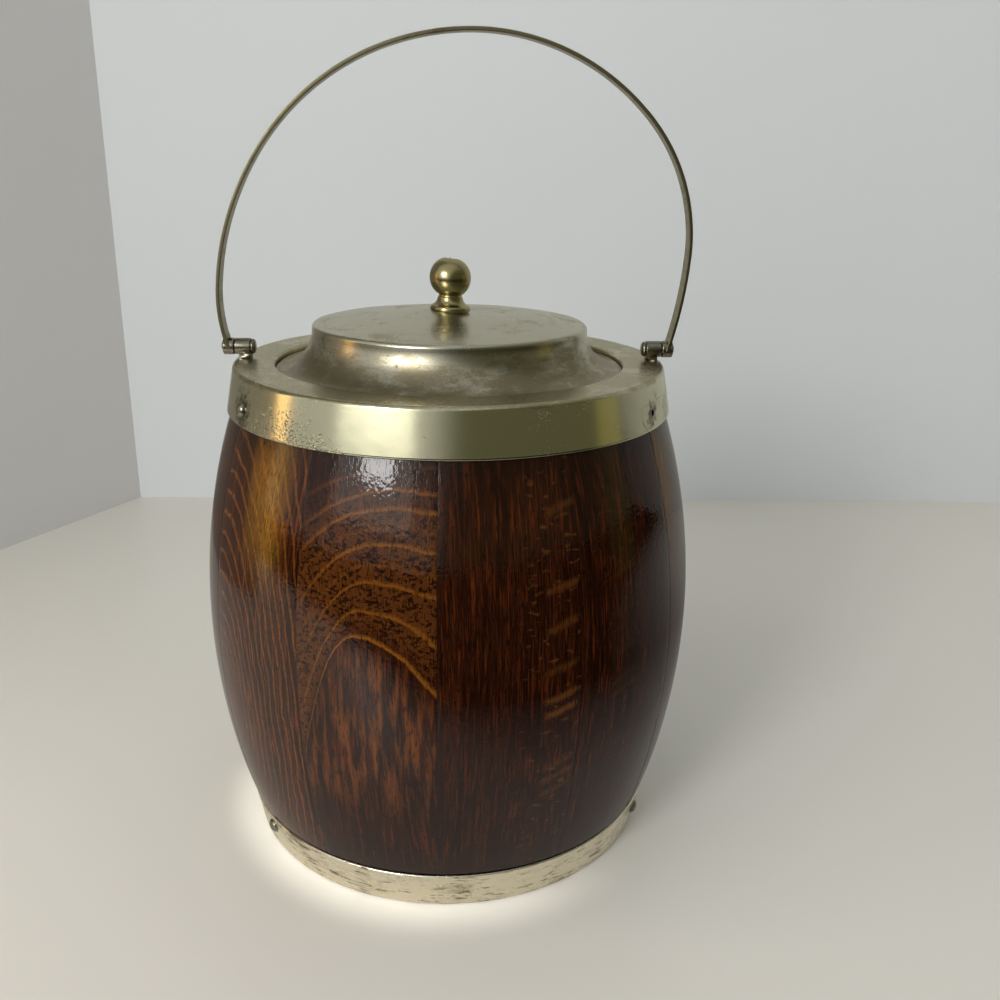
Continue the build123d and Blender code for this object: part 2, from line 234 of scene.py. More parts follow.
# %% [markdown]
# The bow is a circle of known radius, so the surface at any height is found by Pythagoras.
# The inner surface is an arc about the same centre. A joint is a groove less than a tenth
# of a millimetre deep, which the varnish has almost filled.

# %% The bow of a stave
groove_start = 0.97


def bowed(radius):
    """How far out an arc of this radius stands at the stave's height."""
    drop = add(tree, "SUBTRACT", height, given["Belly Height"])
    inside = add(tree, "SUBTRACT", add(tree, "MULTIPLY", radius, radius),
                 add(tree, "MULTIPLY", drop, drop))
    centre = add(tree, "SUBTRACT", given["Belly Radius"], given["Stave Bow"])
    return add(tree, "ADD", centre, add(tree, "SQRT", inside))


edge = add(tree, "ABSOLUTE", across)
groove = add(tree, RANGE, edge, groove_start, 1.0, 0.0, given["Joint Groove"], **SMOOTH)
cut_back = add(tree, "MULTIPLY_ADD", is_low, given["Shoulder Depth"], groove)
outer = add(tree, "SUBTRACT", bowed(given["Stave Bow"]), cut_back)
inner = bowed(add(tree, "SUBTRACT", given["Stave Bow"], given["Thickness"]))
radius = add(tree, MIX, add(tree, "ADD", at["Y"], 0.5), outer, inner)
print("bow radius:", barrel["Stave Bow"], "mm")

# %% [markdown]
# The grain runs straight up a board while the board's edges curve in. So each vertex
# remembers its place on the flat board, in millimetres, before it is bent, and the wood
# material reads that later. Then the stave is placed twelve times, each copy with its
# number, and the copies are made real, because an export would drop them otherwise.

# %% Bend one stave and place twelve
half_width = add(tree, "DIVIDE", math.pi, given["Stave Count"])
angle = add(tree, "MULTIPLY", across, half_width)
on_board = add(tree, JOIN, add(tree, "MULTIPLY", angle, radius), 0.0, height)
bent = add(tree, JOIN,
           add(tree, "MULTIPLY", radius, add(tree, "SINE", angle)),
           add(tree, "MULTIPLY", add(tree, "MULTIPLY", radius, -1.0),
               add(tree, "COSINE", angle)), height)
marked = add(tree, "GeometryNodeStoreNamedAttribute", box, None, "board", on_board,
             data_type="FLOAT_VECTOR", domain="POINT")
shaped = add(tree, "GeometryNodeSetPosition", marked, None,
             add(tree, VECTOR, bent, MM, operation="SCALE"))
number = add(tree, "GeometryNodeInputIndex")
turn = add(tree, "MULTIPLY_ADD", add(tree, "ADD", number, 0.5),
           add(tree, "MULTIPLY", half_width, 2.0), given["Phase"])
placed = add(tree, "GeometryNodeInstanceOnPoints",
             add(tree, "GeometryNodePoints", given["Stave Count"]), Instance=shaped,
             Rotation=add(tree, JOIN, 0.0, 0.0, turn))
numbered = add(tree, "GeometryNodeStoreNamedAttribute", placed, None, "stave", number,
               data_type="FLOAT", domain="INSTANCE")
add(tree, "NodeGroupOutput",
    add(tree, "GeometryNodeSetMaterial", add(tree, "GeometryNodeRealizeInstances", numbered),
        None, given["Oak"]))
print("barrel tree:", len(tree.nodes), "nodes")

# %% [markdown]
# ## Patterns measured in millimetres
# Nearly every finish below is built from soft random patches. A noise texture whose patches
# have a size in millimetres is easier to judge than one with an abstract scale. A piece's
# own coordinates are in metres, so they are turned to millimetres first.
#
# A colour is then built up as a painter does it. Each layer hides what lies below it by its
# share, which is such a pattern, and a strength makes the whole layer thinner.

# %% Places, patches and layers


def millimetres(tree):
    """The position on a piece, in mm."""
    place = add(tree, "ShaderNodeTexCoord").outputs["Object"]
    return add(tree, VECTOR, place, 1 / MM, operation="SCALE")


def patches(tree, place, size, detail=2.0, roughness=0.5):
    """Noise from 0 to 1 whose patches are about this many mm along each axis."""
    stretched = add(tree, VECTOR, place, tuple(1 / s for s in size), operation="MULTIPLY")
    return add(tree, "ShaderNodeTexNoise", stretched, 1.0, detail, roughness).outputs["Fac"]


def layered(tree, below, *layers):
    """Layers over a colour, each with its share, its colour and perhaps a strength."""
    for share, above, *strength in layers:
        if strength:
            share = add(tree, "MULTIPLY", share, *strength)
        below, above = [rgb(color) if isinstance(color, str) else color
                        for color in (below, above)]
        below = add(tree, MIX, share, below, above, data_type="RGBA")
    return below


def new_material(name):
    """A material with one Principled surface, ready for its nodes."""
    material = bpy.data.materials.new(name)
    material.use_nodes = True
    return material, material.node_tree, material.node_tree.nodes["Principled BSDF"]


print("1 mm is", MM, "of Blender's units")

# %% [markdown]
# ## Varnished oak
# The staves are quarter-sawn oak, stained dark and varnished until the surface shines. The
# eye sees it in layers. First comes a red-brown ground with darker fibres. Pores run up the
# board as fine black dashes, under half a millimetre wide. Then comes the figure, in amber:
# nested arches where the saw met the rings at a slant, long ovals, and the short flecks
# that quarter-sawing lays bare. Each stave shows its own share of the three.
#
# The figure follows smooth curves, so it is worked out once for each vertex, further down.
# Here the material only reads it: `rings` is a height or a distance in millimetres that is
# the same all along one growth ring, and `spot` is the place as seen from the figure's
# centre. Every stave reads the noise somewhere else, so that no two boards are alike.

# %% What the oak reads
board_shift = (53.0, 17.0, 211.0)
varnished_oak, tree, surface = new_material("varnished_quarter_sawn_oak")
read = {name: add(tree, "ShaderNodeAttribute", attribute_name=name).outputs
        for name in ("board", "stave", "figure", "spot", "rings", "tone", "joint")}
figure = add(tree, SPLIT, read["figure"]["Vector"]).outputs
spot = add(tree, SPLIT, read["spot"]["Vector"]).outputs
up_board = add(tree, SPLIT, read["board"]["Vector"]).outputs["Z"]
elsewhere = add(tree, VECTOR, board_shift, read["stave"]["Fac"], operation="SCALE")
grain = add(tree, VECTOR, read["board"]["Vector"], elsewhere)
wander = add(tree, "SUBTRACT", patches(tree, grain, (9, 9, 12), 3.0), 0.5)
ragged = add(tree, "SUBTRACT", patches(tree, grain, (0.7, 0.7, 1.1), 2.0), 0.5)
print("attributes:", list(read))

# %% [markdown]
# Pores and fibres come first. Each is a noise that is narrow across the board and long up
# it, and a range node turns its soft hills into dashes.

# %% Pores and fibres
pores = add(tree, RANGE, patches(tree, grain, (0.34, 0.34, 3.0), 2.0, 0.55), 0.45, 0.36)
fibres = add(tree, RANGE, patches(tree, grain, (0.45, 0.45, 9.0), 3.0, 0.65), 0.62, 0.42)
bands = add(tree, RANGE, patches(tree, grain, (2.6, 2.6, 42.0), 3.0, 0.55), 0.62, 0.38)
rust = add(tree, RANGE, patches(tree, grain, (0.9, 0.9, 13.0), 2.0), 0.52, 0.70)

ground = layered(tree, "#3c1b0c", (bands, "#240d05"), (rust, "#5a270d"),
                 (fibres, "#140703", 0.7))
print("ground:", len(tree.nodes), "nodes so far")

# %% [markdown]
# The arches are drawn along `rings`. A colour ramp holds each bright line's height at the
# middle of the board and its strength, with a sharp lower edge and a soft upper one. The
# flecks need the same, so a function draws such lines. Between the arches the wood is
# lighter and full of short dark squiggles. Noise added to the height makes a line waver.

# %% Arches


def drawn_lines(tree, level, lines, below, above):
    """Lines at these heights, each with its strength, that fade out below and above."""
    margin = 4
    low, high = min(lines) - margin, max(lines) + margin
    ramp = add(tree, "ShaderNodeValToRGB", add(tree, RANGE, level, low, high))
    stops = ramp.color_ramp.elements
    stops[0].color = stops[1].color = (0, 0, 0, 1)
    for height, strength in lines.items():
        for offset, share in ((-below, 0.0), (0.0, strength), (above, 0.0)):
            stop = stops.new((height + offset - low) / (high - low))
            stop.color = (share, share, share, 1)
    return ramp


arch_lines = {83.3: 1.0, 89.8: 0.75, 97.0: 0.65, 101.0: 0.25, 105.7: 0.8, 109.6: 0.2,
              113.8: 0.75, 117.8: 0.6, 123.0: 0.3}
arch_waver, arch_rag = 2.6, 0.8
wavering = add(tree, "MULTIPLY_ADD", wander, arch_waver, read["rings"]["Fac"])
wavering = add(tree, "MULTIPLY_ADD", ragged, arch_rag, wavering)
bright_lines = drawn_lines(tree, wavering, arch_lines, below=0.35, above=0.95)
fainter_left = add(tree, RANGE, spot["X"], -16.0, -6.0, 0.35, 1.0)
line_share = add(tree, "MULTIPLY", bright_lines,
                 add(tree, "MULTIPLY", fainter_left, figure["X"]))

honey_above = add(tree, RANGE, wavering, 82.0, 88.0, **SMOOTH)
honey_below = add(tree, RANGE, wavering, 126.0, 108.0, **SMOOTH)
honey = add(tree, "MULTIPLY", add(tree, "MULTIPLY", honey_above, honey_below), figure["X"])
squiggles = add(tree, RANGE, patches(tree, grain, (1.15, 1.15, 0.85), 3.0, 0.6), 0.50, 0.58)
print("arches:", len(arch_lines), "lines")

# %% [markdown]
# Ovals are fine lines at an even distance, one inside the other. Flecks are a ladder of
# short soft bars beside one joint, a little out of level, and a few stray ones.

# %% Ovals and flecks
oval_spacing, oval_waver, oval_rag = 2.3, 2.4, 0.9
oval_place = add(tree, "MULTIPLY_ADD", wander, oval_waver, read["rings"]["Fac"])
oval_wave = add(tree, "SINE", add(tree, "MULTIPLY", oval_place, 2 * math.pi / oval_spacing))
oval_lines = add(tree, RANGE, add(tree, "MULTIPLY_ADD", ragged, oval_rag, oval_wave),
                 0.55, 1.15)
oval_share = add(tree, "MULTIPLY", oval_lines, figure["Y"])

fleck_bars = {38.5: 0.4, 43.0: 0.5, 46.8: 0.4, 62.5: 1.0, 66.5: 0.9, 74.0: 0.5, 84.7: 0.5,
              94.5: 0.6, 113.0: 0.4}
bar_slope, bar_waver, bar_rag, bar_reach = -0.25, 3.0, 3.5, 1.6
fleck_level = add(tree, "MULTIPLY_ADD", spot["X"], bar_slope, spot["Y"])
fleck_level = add(tree, "MULTIPLY_ADD", wander, bar_waver, fleck_level)
bars = drawn_lines(tree, fleck_level, fleck_bars, below=bar_reach, above=bar_reach)
bars.color_ramp.interpolation = "EASE"
fleck_edge = add(tree, "MULTIPLY_ADD", ragged, bar_rag, add(tree, "ABSOLUTE", spot["X"]))
in_column = add(tree, RANGE, fleck_edge, 4.9, 3.6)
stray = add(tree, RANGE, patches(tree, grain, (3.2, 3.2, 1.6), 2.0), 0.60, 0.68, 0.0, 0.7)
near_column = add(tree, RANGE, fleck_edge, 13.0, 6.0)
flecks = add(tree, "MAXIMUM", add(tree, "MULTIPLY", bars, in_column),
             add(tree, "MULTIPLY", stray, near_column))
fleck_share = add(tree, "MULTIPLY", flecks, figure["Z"])
print("flecks:", len(fleck_bars), "bars")

# %% [markdown]
# Now the layers are laid over each other. Under the lowest arch the wood has upright amber
# blobs. A board with ovals gets a painted gold sheen in its upper part, a painted highlight of
# the warm lamp's glow in the varnish. The wood is made darker under the rim and above the
# foot, and dirt gathers in the joints. The whole board is made lighter or darker by its own
# tone.

# %% Colour of the oak
sheen_middle, sheen_core, sheen_edge, joint_dirt = 19.5, 3.0, 11.0, 0.5
blobs = add(tree, RANGE, patches(tree, grain, (1.7, 1.7, 15.0), 3.0), 0.46, 0.68)
under_arch = add(tree, "MULTIPLY", add(tree, RANGE, wavering, 83.0, 78.0),
                 add(tree, RANGE, spot["Y"], 30.0, 46.0))
under_arch = add(tree, "MULTIPLY", under_arch, figure["X"])
# Painted highlight: a gold sheen in the upper part of an oval board, for the warm glow in the
# varnish.
painted_gold_sheen = add(tree, "MULTIPLY", figure["Y"], add(tree, RANGE, up_board, 84.0, 112.0, **SMOOTH))
off_sheen = add(tree, "ABSOLUTE", add(tree, "SUBTRACT", spot["X"], sheen_middle))
painted_gold_sheen = add(tree, "MULTIPLY", painted_gold_sheen,
           add(tree, RANGE, off_sheen, sheen_edge, sheen_core, **SMOOTH))
# Darker under the rim and above the foot, and in the joints, where dirt gathers.
darker_ends_and_joints = add(tree, "MAXIMUM", add(tree, RANGE, up_board, 118.0, 126.0, 0.0, 0.6),
           add(tree, RANGE, up_board, 24.0, 12.5, 0.0, 0.4))
darker_ends_and_joints = add(tree, "MAXIMUM", darker_ends_and_joints, add(tree, "MULTIPLY", read["joint"]["Fac"], joint_dirt))
color = layered(
    tree, ground,
    (honey, layered(tree, "#573012", (squiggles, "#210e05")), 0.8),
    (add(tree, "MULTIPLY", under_arch, blobs), "#6e3c16"),
    (add(tree, "MAXIMUM", line_share, oval_share), "#845018"),
    (fleck_share, "#5c3614"),
    # the painted gold sheen, a highlight laid into the colour
    (painted_gold_sheen, "#946720", 0.75),
    (pores, "#0e0502", 0.8),
    # darker under the rim, above the foot and in the joints
    (darker_ends_and_joints, "#120906"),
)
fill(tree, surface, Base_Color=add(tree, MIX, 1.0, color, read["tone"]["Color"],
                                   data_type="RGBA", blend_type="MULTIPLY"))
print(varnished_oak.name, len(tree.nodes), "nodes")

# %% [markdown]
# Varnish is a clear coat, so it has a gloss of its own over the wood. Brushed on by hand it
# ripples like orange peel, and it sinks a little over each pore, which gives the tiny
# glints under the rim. The wood below it is left without a gloss, because a second, dull
# reflection would turn the dark stain grey.

# %% Varnish
varnish_relief, pebble_height, pore_sink = 0.045, 0.8, -0.14
peel = patches(tree, grain, (2.6, 2.6, 4.2), 2.0)
pebbles = patches(tree, grain, (0.9, 0.9, 1.0), 1.0)
film_height = add(tree, "MULTIPLY_ADD", pores, pore_sink,
                  add(tree, "MULTIPLY_ADD", pebbles, pebble_height, peel))
relief = add(tree, "ShaderNodeBump", Strength=1.0, Distance=varnish_relief * MM,
             Height=film_height)
fill(tree, surface, Roughness=0.5, Specular_IOR_Level=0.0, Normal=relief,
     Coat_Weight=0.68, Coat_Roughness=0.06, Coat_IOR=1.5, Coat_Normal=relief)
print("varnish relief:", varnish_relief, "mm")

# %% [markdown]
# ## From a tree to a mesh
# An exported piece can't keep a modifier that makes its shape. So the tree is put on an
# object, its inputs are filled in by each socket's own identifier, and the evaluated result
# is copied out as a plain mesh. The modifier is then removed.

# %% Grow a mesh


def grown(name, tree, inputs, points=None):
    """The mesh that a tree makes with these inputs, on an object of its own."""
    holder = new_object(name, points or bpy.data.meshes.new(name))
    modifier = holder.modifiers.new(name, "NODES")
    modifier.node_group = tree
    for item in tree.interface.items_tree:
        if item.in_out == "INPUT" and item.name in inputs:
            modifier[item.identifier] = inputs[item.name]
    graph = bpy.context.evaluated_depsgraph_get()
    mesh = bpy.data.meshes.new_from_object(holder.evaluated_get(graph), depsgraph=graph)
    holder.modifiers.remove(modifier)
    holder.data = mesh
    return holder


staves = grown("oak_staves", bpy.data.node_groups["coopered_barrel"],
               barrel | {"Oak": varnished_oak})
print("staves:", len(staves.data.vertices), "vertices")

# %% [markdown]
# ## The figure of each stave
# A table says what every stave shows: its figure, where the figure's centre is across and
# up the board, which way it faces, and its tone. Stave 0 is just to the right of the front
# and the numbers run on round the jar.
#
# An arch is a parabola whose left flank bends more than its right one. Higher up it is
# flatter and its top has moved to the right. Which arch passes through a place has no short
# formula, so a guess is improved until it fits. An oval is a plain distance, with the height
# pressed together.

# %% Arches and ovals
PLAIN, ARCH, OVAL, FLECK = (0, 0, 0.25), (0.9, 0, 0), (0, 0.38, 0.1), (0, 0, 1)
stave_plan = [
    (FLECK, (12.8, 0.0, 1), 0.9),
    (PLAIN, (-4.0, 0.0, 1), 0.8),
    (OVAL, (3.0, 70.0, -1), 0.9),
    (FLECK, (-9.0, 6.0, -1), 0.95),
    (ARCH, (4.0, -12.0, -1), 0.9),
    (PLAIN, (0.0, 0.0, 1), 0.85),
    (FLECK, (5.0, 20.0, 1), 1.0),
    (ARCH, (-3.0, -30.0, 1), 0.85),
    (PLAIN, (8.0, 0.0, 1), 1.0),
    (FLECK, (-6.0, -8.0, 1), 1.0),
    (OVAL, (-15.5, 54.0, 1), 1.25),
    (ARCH, (-1.0, 0.0, 1), 0.92),
]
oval_stretch = 2.3
left_bend, left_fade, right_bend, right_fade = 0.151, 17, 0.036, 14
drift, drift_start, lowest_level, rounds, pace = 0.24, 2.7, -6.0, 30, 0.3


def arch_height(side, rise):
    """Height at which the arch through each place crosses the middle of its board."""
    height = rise.copy()
    for _ in range(rounds):
        above = np.maximum(height - min(arch_lines), lowest_level)
        away = side - drift * (above - drift_start)
        bend = np.where(away < 0, left_bend * np.exp(-above / left_fade),
                        right_bend * np.exp(-above / right_fade))
        height += pace * (rise + bend * away**2 - height)
    return height


print("arch at the joint:", arch_height(np.array([18.0]), np.array([70.0])).round(1))

# %% [markdown]
# The values go onto the mesh as attributes, a few numbers for each vertex. Hand finishing
# has also left each board a few hundredths of a millimetre out of true, so that the
# highlights waver a little from board to board.

# %% Give each stave its figure
wave_length, wave_height, wave_shift = 28.0, 0.09, 7.3
mesh = staves.data
numbers = np.array([item.value for item in mesh.attributes["stave"].data]).round().astype(int)
board = np.array([item.vector for item in mesh.attributes["board"].data])
plan = [np.array([row[part] for row in stave_plan])[numbers] for part in range(3)]
figures, (layout_x, layout_y, facing), tones = plan[0], plan[1].T, plan[2]
side = (board[:, 0] - layout_x) * facing
rise = board[:, 2] - layout_y
rings = np.where(figures[:, 0] > 0, arch_height(side, rise),
                 np.hypot(side, rise / oval_stretch))
radii = np.array([math.hypot(v.co.x, v.co.y) / MM for v in mesh.vertices])
off_centre = np.abs(board[:, 0]) / radii / (math.pi / barrel["Stave Count"])
joints = np.clip((off_centre - groove_start) / (1 - groove_start), 0, 1)
for name, kind, values in (
    ("figure", "FLOAT_VECTOR", figures),
    ("spot", "FLOAT_VECTOR", np.stack([side, rise, 0 * rise], axis=1)),
    ("tone", "FLOAT", tones),
    ("rings", "FLOAT", rings),
    ("joint", "FLOAT", joints),
):
    layer = mesh.attributes.new(name, kind, "POINT")
    layer.data.foreach_set("vector" if kind == "FLOAT_VECTOR" else "value", values.ravel())
for vertex, number in zip(mesh.vertices, numbers):
    outward = Vector((vertex.co.x, vertex.co.y, 0)).normalized()
    wave = noise.noise(vertex.co / (wave_length * MM) + Vector((number * wave_shift, 0, 0)))
    vertex.co += outward * wave * wave_height * MM
finish_piece(staves, varnished_oak, "root", "oak_varnished",
             *[f"stave_{number:02d}" for number in range(1, 13)])

# %% [markdown]
# ## Nickel silver
# The rim, foot, lid and handle are nickel silver, a pale and faintly yellow alloy that was
# spun or stamped from sheet. Old pieces keep their shine where hands polish them, and turn
# brown and olive where they don't. One recipe makes all of them: a metal colour, a brown
# film over it in clouds, fine scratches, and pits. A finish is then a choice of how much
# film and pitting there is, where hands have rubbed it off, and how rough the metal is.
#
# Dirt also stays round the pins, where a cloth doesn't reach, and pits come in crowds. Both
# are told as lists of places, each with a radius, and one function says how near they are.

# %% Near these places


def near(tree, place, spots, ragged):
    """1 at any of these spots, 0 beyond their reach, with a ragged edge. The noise is about
    a half, so it adds about 1.2 times the reach to each distance."""
    rag, far, close = 2.4, 2.3, 1.6
    nearest = None
    for centre, reach in spots:
        away = add(tree, VECTOR, place, centre, operation="DISTANCE").outputs["Value"]
        away = add(tree, "MULTIPLY_ADD", ragged, rag * reach, away)
        halo = add(tree, RANGE, away, far * reach, close * reach)
        nearest = add(tree, "MAXIMUM", nearest or 0.0, halo)
    return nearest


def film_on(tree, place, share, rubbed):
    """Clouds, and how thick the brown film is, from 0 to 1. It is thick at the first height
    of rubbed, and worn to its share at the second."""
    cloud = patches(tree, place, (13, 13, 7), 5.0, 0.62)
    smear = patches(tree, place, (5.0, 5.0, 1.6), 4.0, 0.62)
    speckle = patches(tree, place, (0.55, 0.55, 0.4), 3.0, 0.65)
    smear_share, speckle_share = 0.45, 0.22
    mottle = add(tree, MIX, speckle_share, add(tree, MIX, smear_share, cloud, smear), speckle)
    thick, worn = 0.40, 0.74 - 0.34 * share
    limit = add(tree, RANGE, add(tree, SPLIT, place).outputs["Z"], *rubbed, thick, worn)
    over = add(tree, "SUBTRACT", mottle, limit)
    return cloud, add(tree, RANGE, over, -0.07, 0.13, **SMOOTH)


def pits_on(tree, place, share, size, crowd):
    """Small dark pits, the more the closer they crowd, from 0 to 1."""
    seeds = add(tree, "MULTIPLY_ADD", crowd, 0.20, patches(tree, place, size, 4.0, 0.7))
    shallow, deep = 0.88 - 0.2 * share, 0.96 - 0.2 * share
    return add(tree, RANGE, seeds, shallow, deep)


print("film and pits: ready")

# %% [markdown]
# Film makes the metal darker and duller, a pit does so even more and is also a hollow, and
# a stain is almost black. Scratches run round the jar, because the pieces were polished
# while they turned on a lathe. They are far too fine to be seen one by one, so they only
# widen a highlight.

# %% Metal


def nickel_silver(name, bright, film_color, share, rough, pits=0.5, pit_size=(1.2, 1.2, 1.2),
                  pit_color="#3a3526", rubbed=(0.0, 1.0), stained=(), crowded=()):
    """Worn nickel silver. Share and pits say how much film and pitting there is."""
    material, tree, surface = new_material(name)
    place = millimetres(tree)
    cloud, film = film_on(tree, place, share, rubbed)
    ragged = patches(tree, place, (1.6, 1.6, 1.6), 3.0, 0.6)
    crowd = add(tree, RANGE, cloud, 0.40, 0.66, 0.0, 0.6)
    if crowded:
        crowd = add(tree, "MAXIMUM", crowd, near(tree, place, crowded, ragged))
    hollows = pits_on(tree, place, pits, pit_size, crowd)
    film_hides, pit_hides, stain_hides = 0.8, 0.8, 0.85
    layers = [(film, film_color, film_hides), (hollows, pit_color, pit_hides)]
    if stained:
        layers.append((near(tree, place, stained, ragged), "#2e271c", stain_hides))
    film_dulls, pit_dulls = 0.12, 0.3
    dull = add(tree, "MULTIPLY_ADD", film, film_dulls, rough)
    dull = add(tree, "MULTIPLY_ADD", hollows, pit_dulls, dull)
    scratches = patches(tree, place, (0.3, 0.3, 0.12), 2.0)
    dents = patches(tree, place, (7.0, 7.0, 5.0), 1.0)
    scratch_depth, dent_depth, pit_depth, metal_relief = 0.10, 0.8, -0.9, 0.05
    height = add(tree, "MULTIPLY_ADD", scratches, scratch_depth,
                 add(tree, "MULTIPLY", dents, dent_depth))
    height = add(tree, "MULTIPLY_ADD", hollows, pit_depth, height)
    relief = add(tree, "ShaderNodeBump", Strength=0.8, Distance=metal_relief * MM,
                 Height=height)
    fill(tree, surface, Metallic=1.0, Base_Color=layered(tree, bright, *layers),
         Roughness=dull, Normal=relief)
    print(name, len(tree.nodes), "nodes")
    return material

# %% [markdown]
# The pins were driven in by hand, and their places are needed twice: for the dirt round
# them, and for the pins themselves. One pin of the rim is lost and only its hole is left.

# %% Places of the pins
rim_pin_turns, ring_pin_turns, lost_pin = (-60.0, 58.4, 180.0), (-57.0, 64.0, 184.0), 1
rim_pin_drop, ring_pin_drop = 7.8, 3.8
skirt_flare, skirt_depth, ring_flare, ring_height = 2.2, 11.7, 2.1, 10.9
skirt_lean, ring_lean = skirt_flare / skirt_depth, ring_flare / ring_height
rim_pin_z, ring_pin_z = rim_top - rim_pin_drop, ring_height - ring_pin_drop
rim_pin_radius = skirt_radius - skirt_flare + rim_pin_drop * skirt_lean
ring_pin_radius = ring_radius - ring_pin_drop * ring_lean


def round_jar(turn, radius, height):
    """A place this many degrees round from the front, in mm."""
    angle = math.radians(turn)
    return Vector((radius * math.sin(angle), -radius * math.cos(angle), height))


rim_pin_places = [round_jar(turn, rim_pin_radius, rim_pin_z) for turn in rim_pin_turns]
ring_pin_places = [round_jar(turn, ring_pin_radius, ring_pin_z) for turn in ring_pin_turns]
print("lost pin at", [round(part, 1) for part in rim_pin_places[lost_pin]])

# %% [markdown]
# Seven finishes come from the recipe. The rim is polished and bright, but its flat top
# keeps a brown film. The lid is satin, browned in its hollow. The foot ring is pale and
# pitted. Hinges and pins are dark, the handle is rubbed by hands, and the knob, washer and
# nut hold more copper and so are yellower.

# %% The seven finishes
pit_crowds = ((-54, 126.0, 7.0), (-47, 127.0, 9.0), (-39, 127.5, 9.5), (-31, 125.5, 6.0),
              (-24, 125.0, 2.5), (55, 127.0, 4.0), (62, 132.5, 4.5), (70, 129.0, 6.0),
              (77, 133.0, 6.0))
pin_stains = (5.2, 3.2, 4.0)
polished = nickel_silver(
    "polished_nickel_silver", "#cdc9ac", "#978d6b", 0.34, 0.17, 0.85,
    pit_size=(0.6, 0.6, 0.4), pit_color="#463e29", rubbed=(rim_top - 0.2, rim_top - 1.4),
    stained=list(zip(rim_pin_places, pin_stains)),
    crowded=[(round_jar(turn, skirt_radius, height), reach)
             for turn, height, reach in pit_crowds])
satin = nickel_silver(
    "satin_nickel_silver", "#bab6a4", "#7c7053", 0.5, 0.25, 0.7,
    rubbed=(lid_crown - 11.0, lid_crown - 4.0))
pitted = nickel_silver(
    "pitted_nickel_silver", "#ebe3cd", "#968a6e", 0.58, 0.26, 1.35,
    pit_size=(6.0, 6.0, 0.8), pit_color="#70664e",
    stained=[(place, 2.6) for place in ring_pin_places])
tarnished = nickel_silver("tarnished_nickel_silver", "#8c877a", "#38332a", 0.65, 0.27, 0.7)
handle_metal = nickel_silver("rubbed_nickel_silver", "#857e62", "#504a36", 0.55, 0.34, 0.6)
knob_metal = nickel_silver("darkened_nickel_brass", "#a89e74", "#544a30", 0.5, 0.24, 0.5)
brass = nickel_silver("plain_brass", "#c8a860", "#6e5a30", 0.4, 0.3, 0.2)

# %% [markdown]
# ## Turned metal
# The rim, foot, lid and knob were all spun or turned, so one outline in radius and height
# describes each. A real sheet never ends in a knife edge and never folds without a radius,
# and those small roundings catch the light. So corners are rounded with true arcs. Three
# short functions are enough: an arc between two points, and two ways to find its centre.

# %% Arcs


def arc(start, end, centre, step=6):
    """Points from start to end about a centre, the short way, every few degrees."""
    begin = math.atan2(start[1] - centre[1], start[0] - centre[0])
    turn = math.atan2(end[1] - centre[1], end[0] - centre[0]) - begin
    turn = (turn + math.pi) % (2 * math.pi) - math.pi
    radius = math.dist(start, centre)
    pieces = max(2, math.ceil(abs(math.degrees(turn)) / step))
    return [(centre[0] + radius * math.cos(begin + turn * i / pieces),
             centre[1] + radius * math.sin(begin + turn * i / pieces))
            for i in range(pieces + 1)]


def centre_from_heading(start, heading, end):
    """Centre of the arc that leaves start in this direction and reaches end."""
    across = Vector((-heading[1], heading[0])).normalized()
    chord = Vector(end) - Vector(start)
    return tuple(Vector(start) + across * (chord.length_squared / (2 * across.dot(chord))))


def centre_through(first, middle, last):
    """Centre of the arc through three points."""
    a, b, c = Vector(first), Vector(middle), Vector(last)
    ab, ac = b - a, c - a
    cross = 2 * (ab.x * ac.y - ab.y * ac.x)
    x = (ac.y * ab.length_squared - ab.y * ac.length_squared) / cross
    y = (ab.x * ac.length_squared - ac.x * ab.length_squared) / cross
    return (a.x + x, a.y + y)


print("quarter circle:", len(arc((1, 0), (0, 1), (0, 0))), "points")

# %% [markdown]
# A sheet is drawn as the side that shows, with its corners rounded. The other side is the
# same line moved over by the sheet's thickness, and half circles close the two ends.

# %% Sheets


def rounded(corners, radii):
    """A path through the corners, with each inner corner rounded by its radius."""
    path = [corners[0]]
    for before, corner, after, radius in zip(corners, corners[1:], corners[2:], radii):
        back = (Vector(before) - Vector(corner)).normalized()
        on = (Vector(after) - Vector(corner)).normalized()
        half = back.angle(on) / 2
        reach = radius / math.tan(half)
        middle = Vector(corner) + (back + on).normalized() * (radius / math.sin(half))
        path += arc(tuple(Vector(corner) + back * reach), tuple(Vector(corner) + on * reach),
                    tuple(middle))
    return path + [corners[-1]]


def half_circle(near, far):
    """The rounded end of a sheet, unless the sheet ends on the axis."""
    if min(abs(near[0]), abs(far[0])) < 0.01:
        return []
    middle = ((near[0] + far[0]) / 2, (near[1] + far[1]) / 2)
    return arc(near, far, middle, step=30)[1:-1]


def sheet_outline(path, thickness):
    """The outline of a sheet whose hidden side lies to the right of the shown one."""
    hidden = []
    for index, point in enumerate(path):
        along = Vector(path[min(index + 1, len(path) - 1)]) - Vector(path[max(index - 1, 0)])
        along.normalize()
        hidden.append(tuple(Vector(point) + Vector((along.y, -along.x)) * thickness))
    return (list(path) + half_circle(path[-1], hidden[-1]) + hidden[::-1]
            + half_circle(hidden[0], path[0]))


print("rounded corner:", len(rounded([(0, 0), (5, 0), (5, 5)], [1.0])), "points")

# %% [markdown]
# The outline is then turned round the jar's axis. Long straight runs are divided first,
# because a thin sheet is never perfectly round: every vertex moves a few hundredths of a
# millimetre, by a slow noise, so that reflections waver as they do in spun metal. A long run
# also gets a point just inside each end, which keeps the shading of a small rounding from
# spreading over the flat metal beside it.

# %% Turning
long_run, end_gap = 3.0, 0.12
waver_length, almost_zero = 16, 1e-4


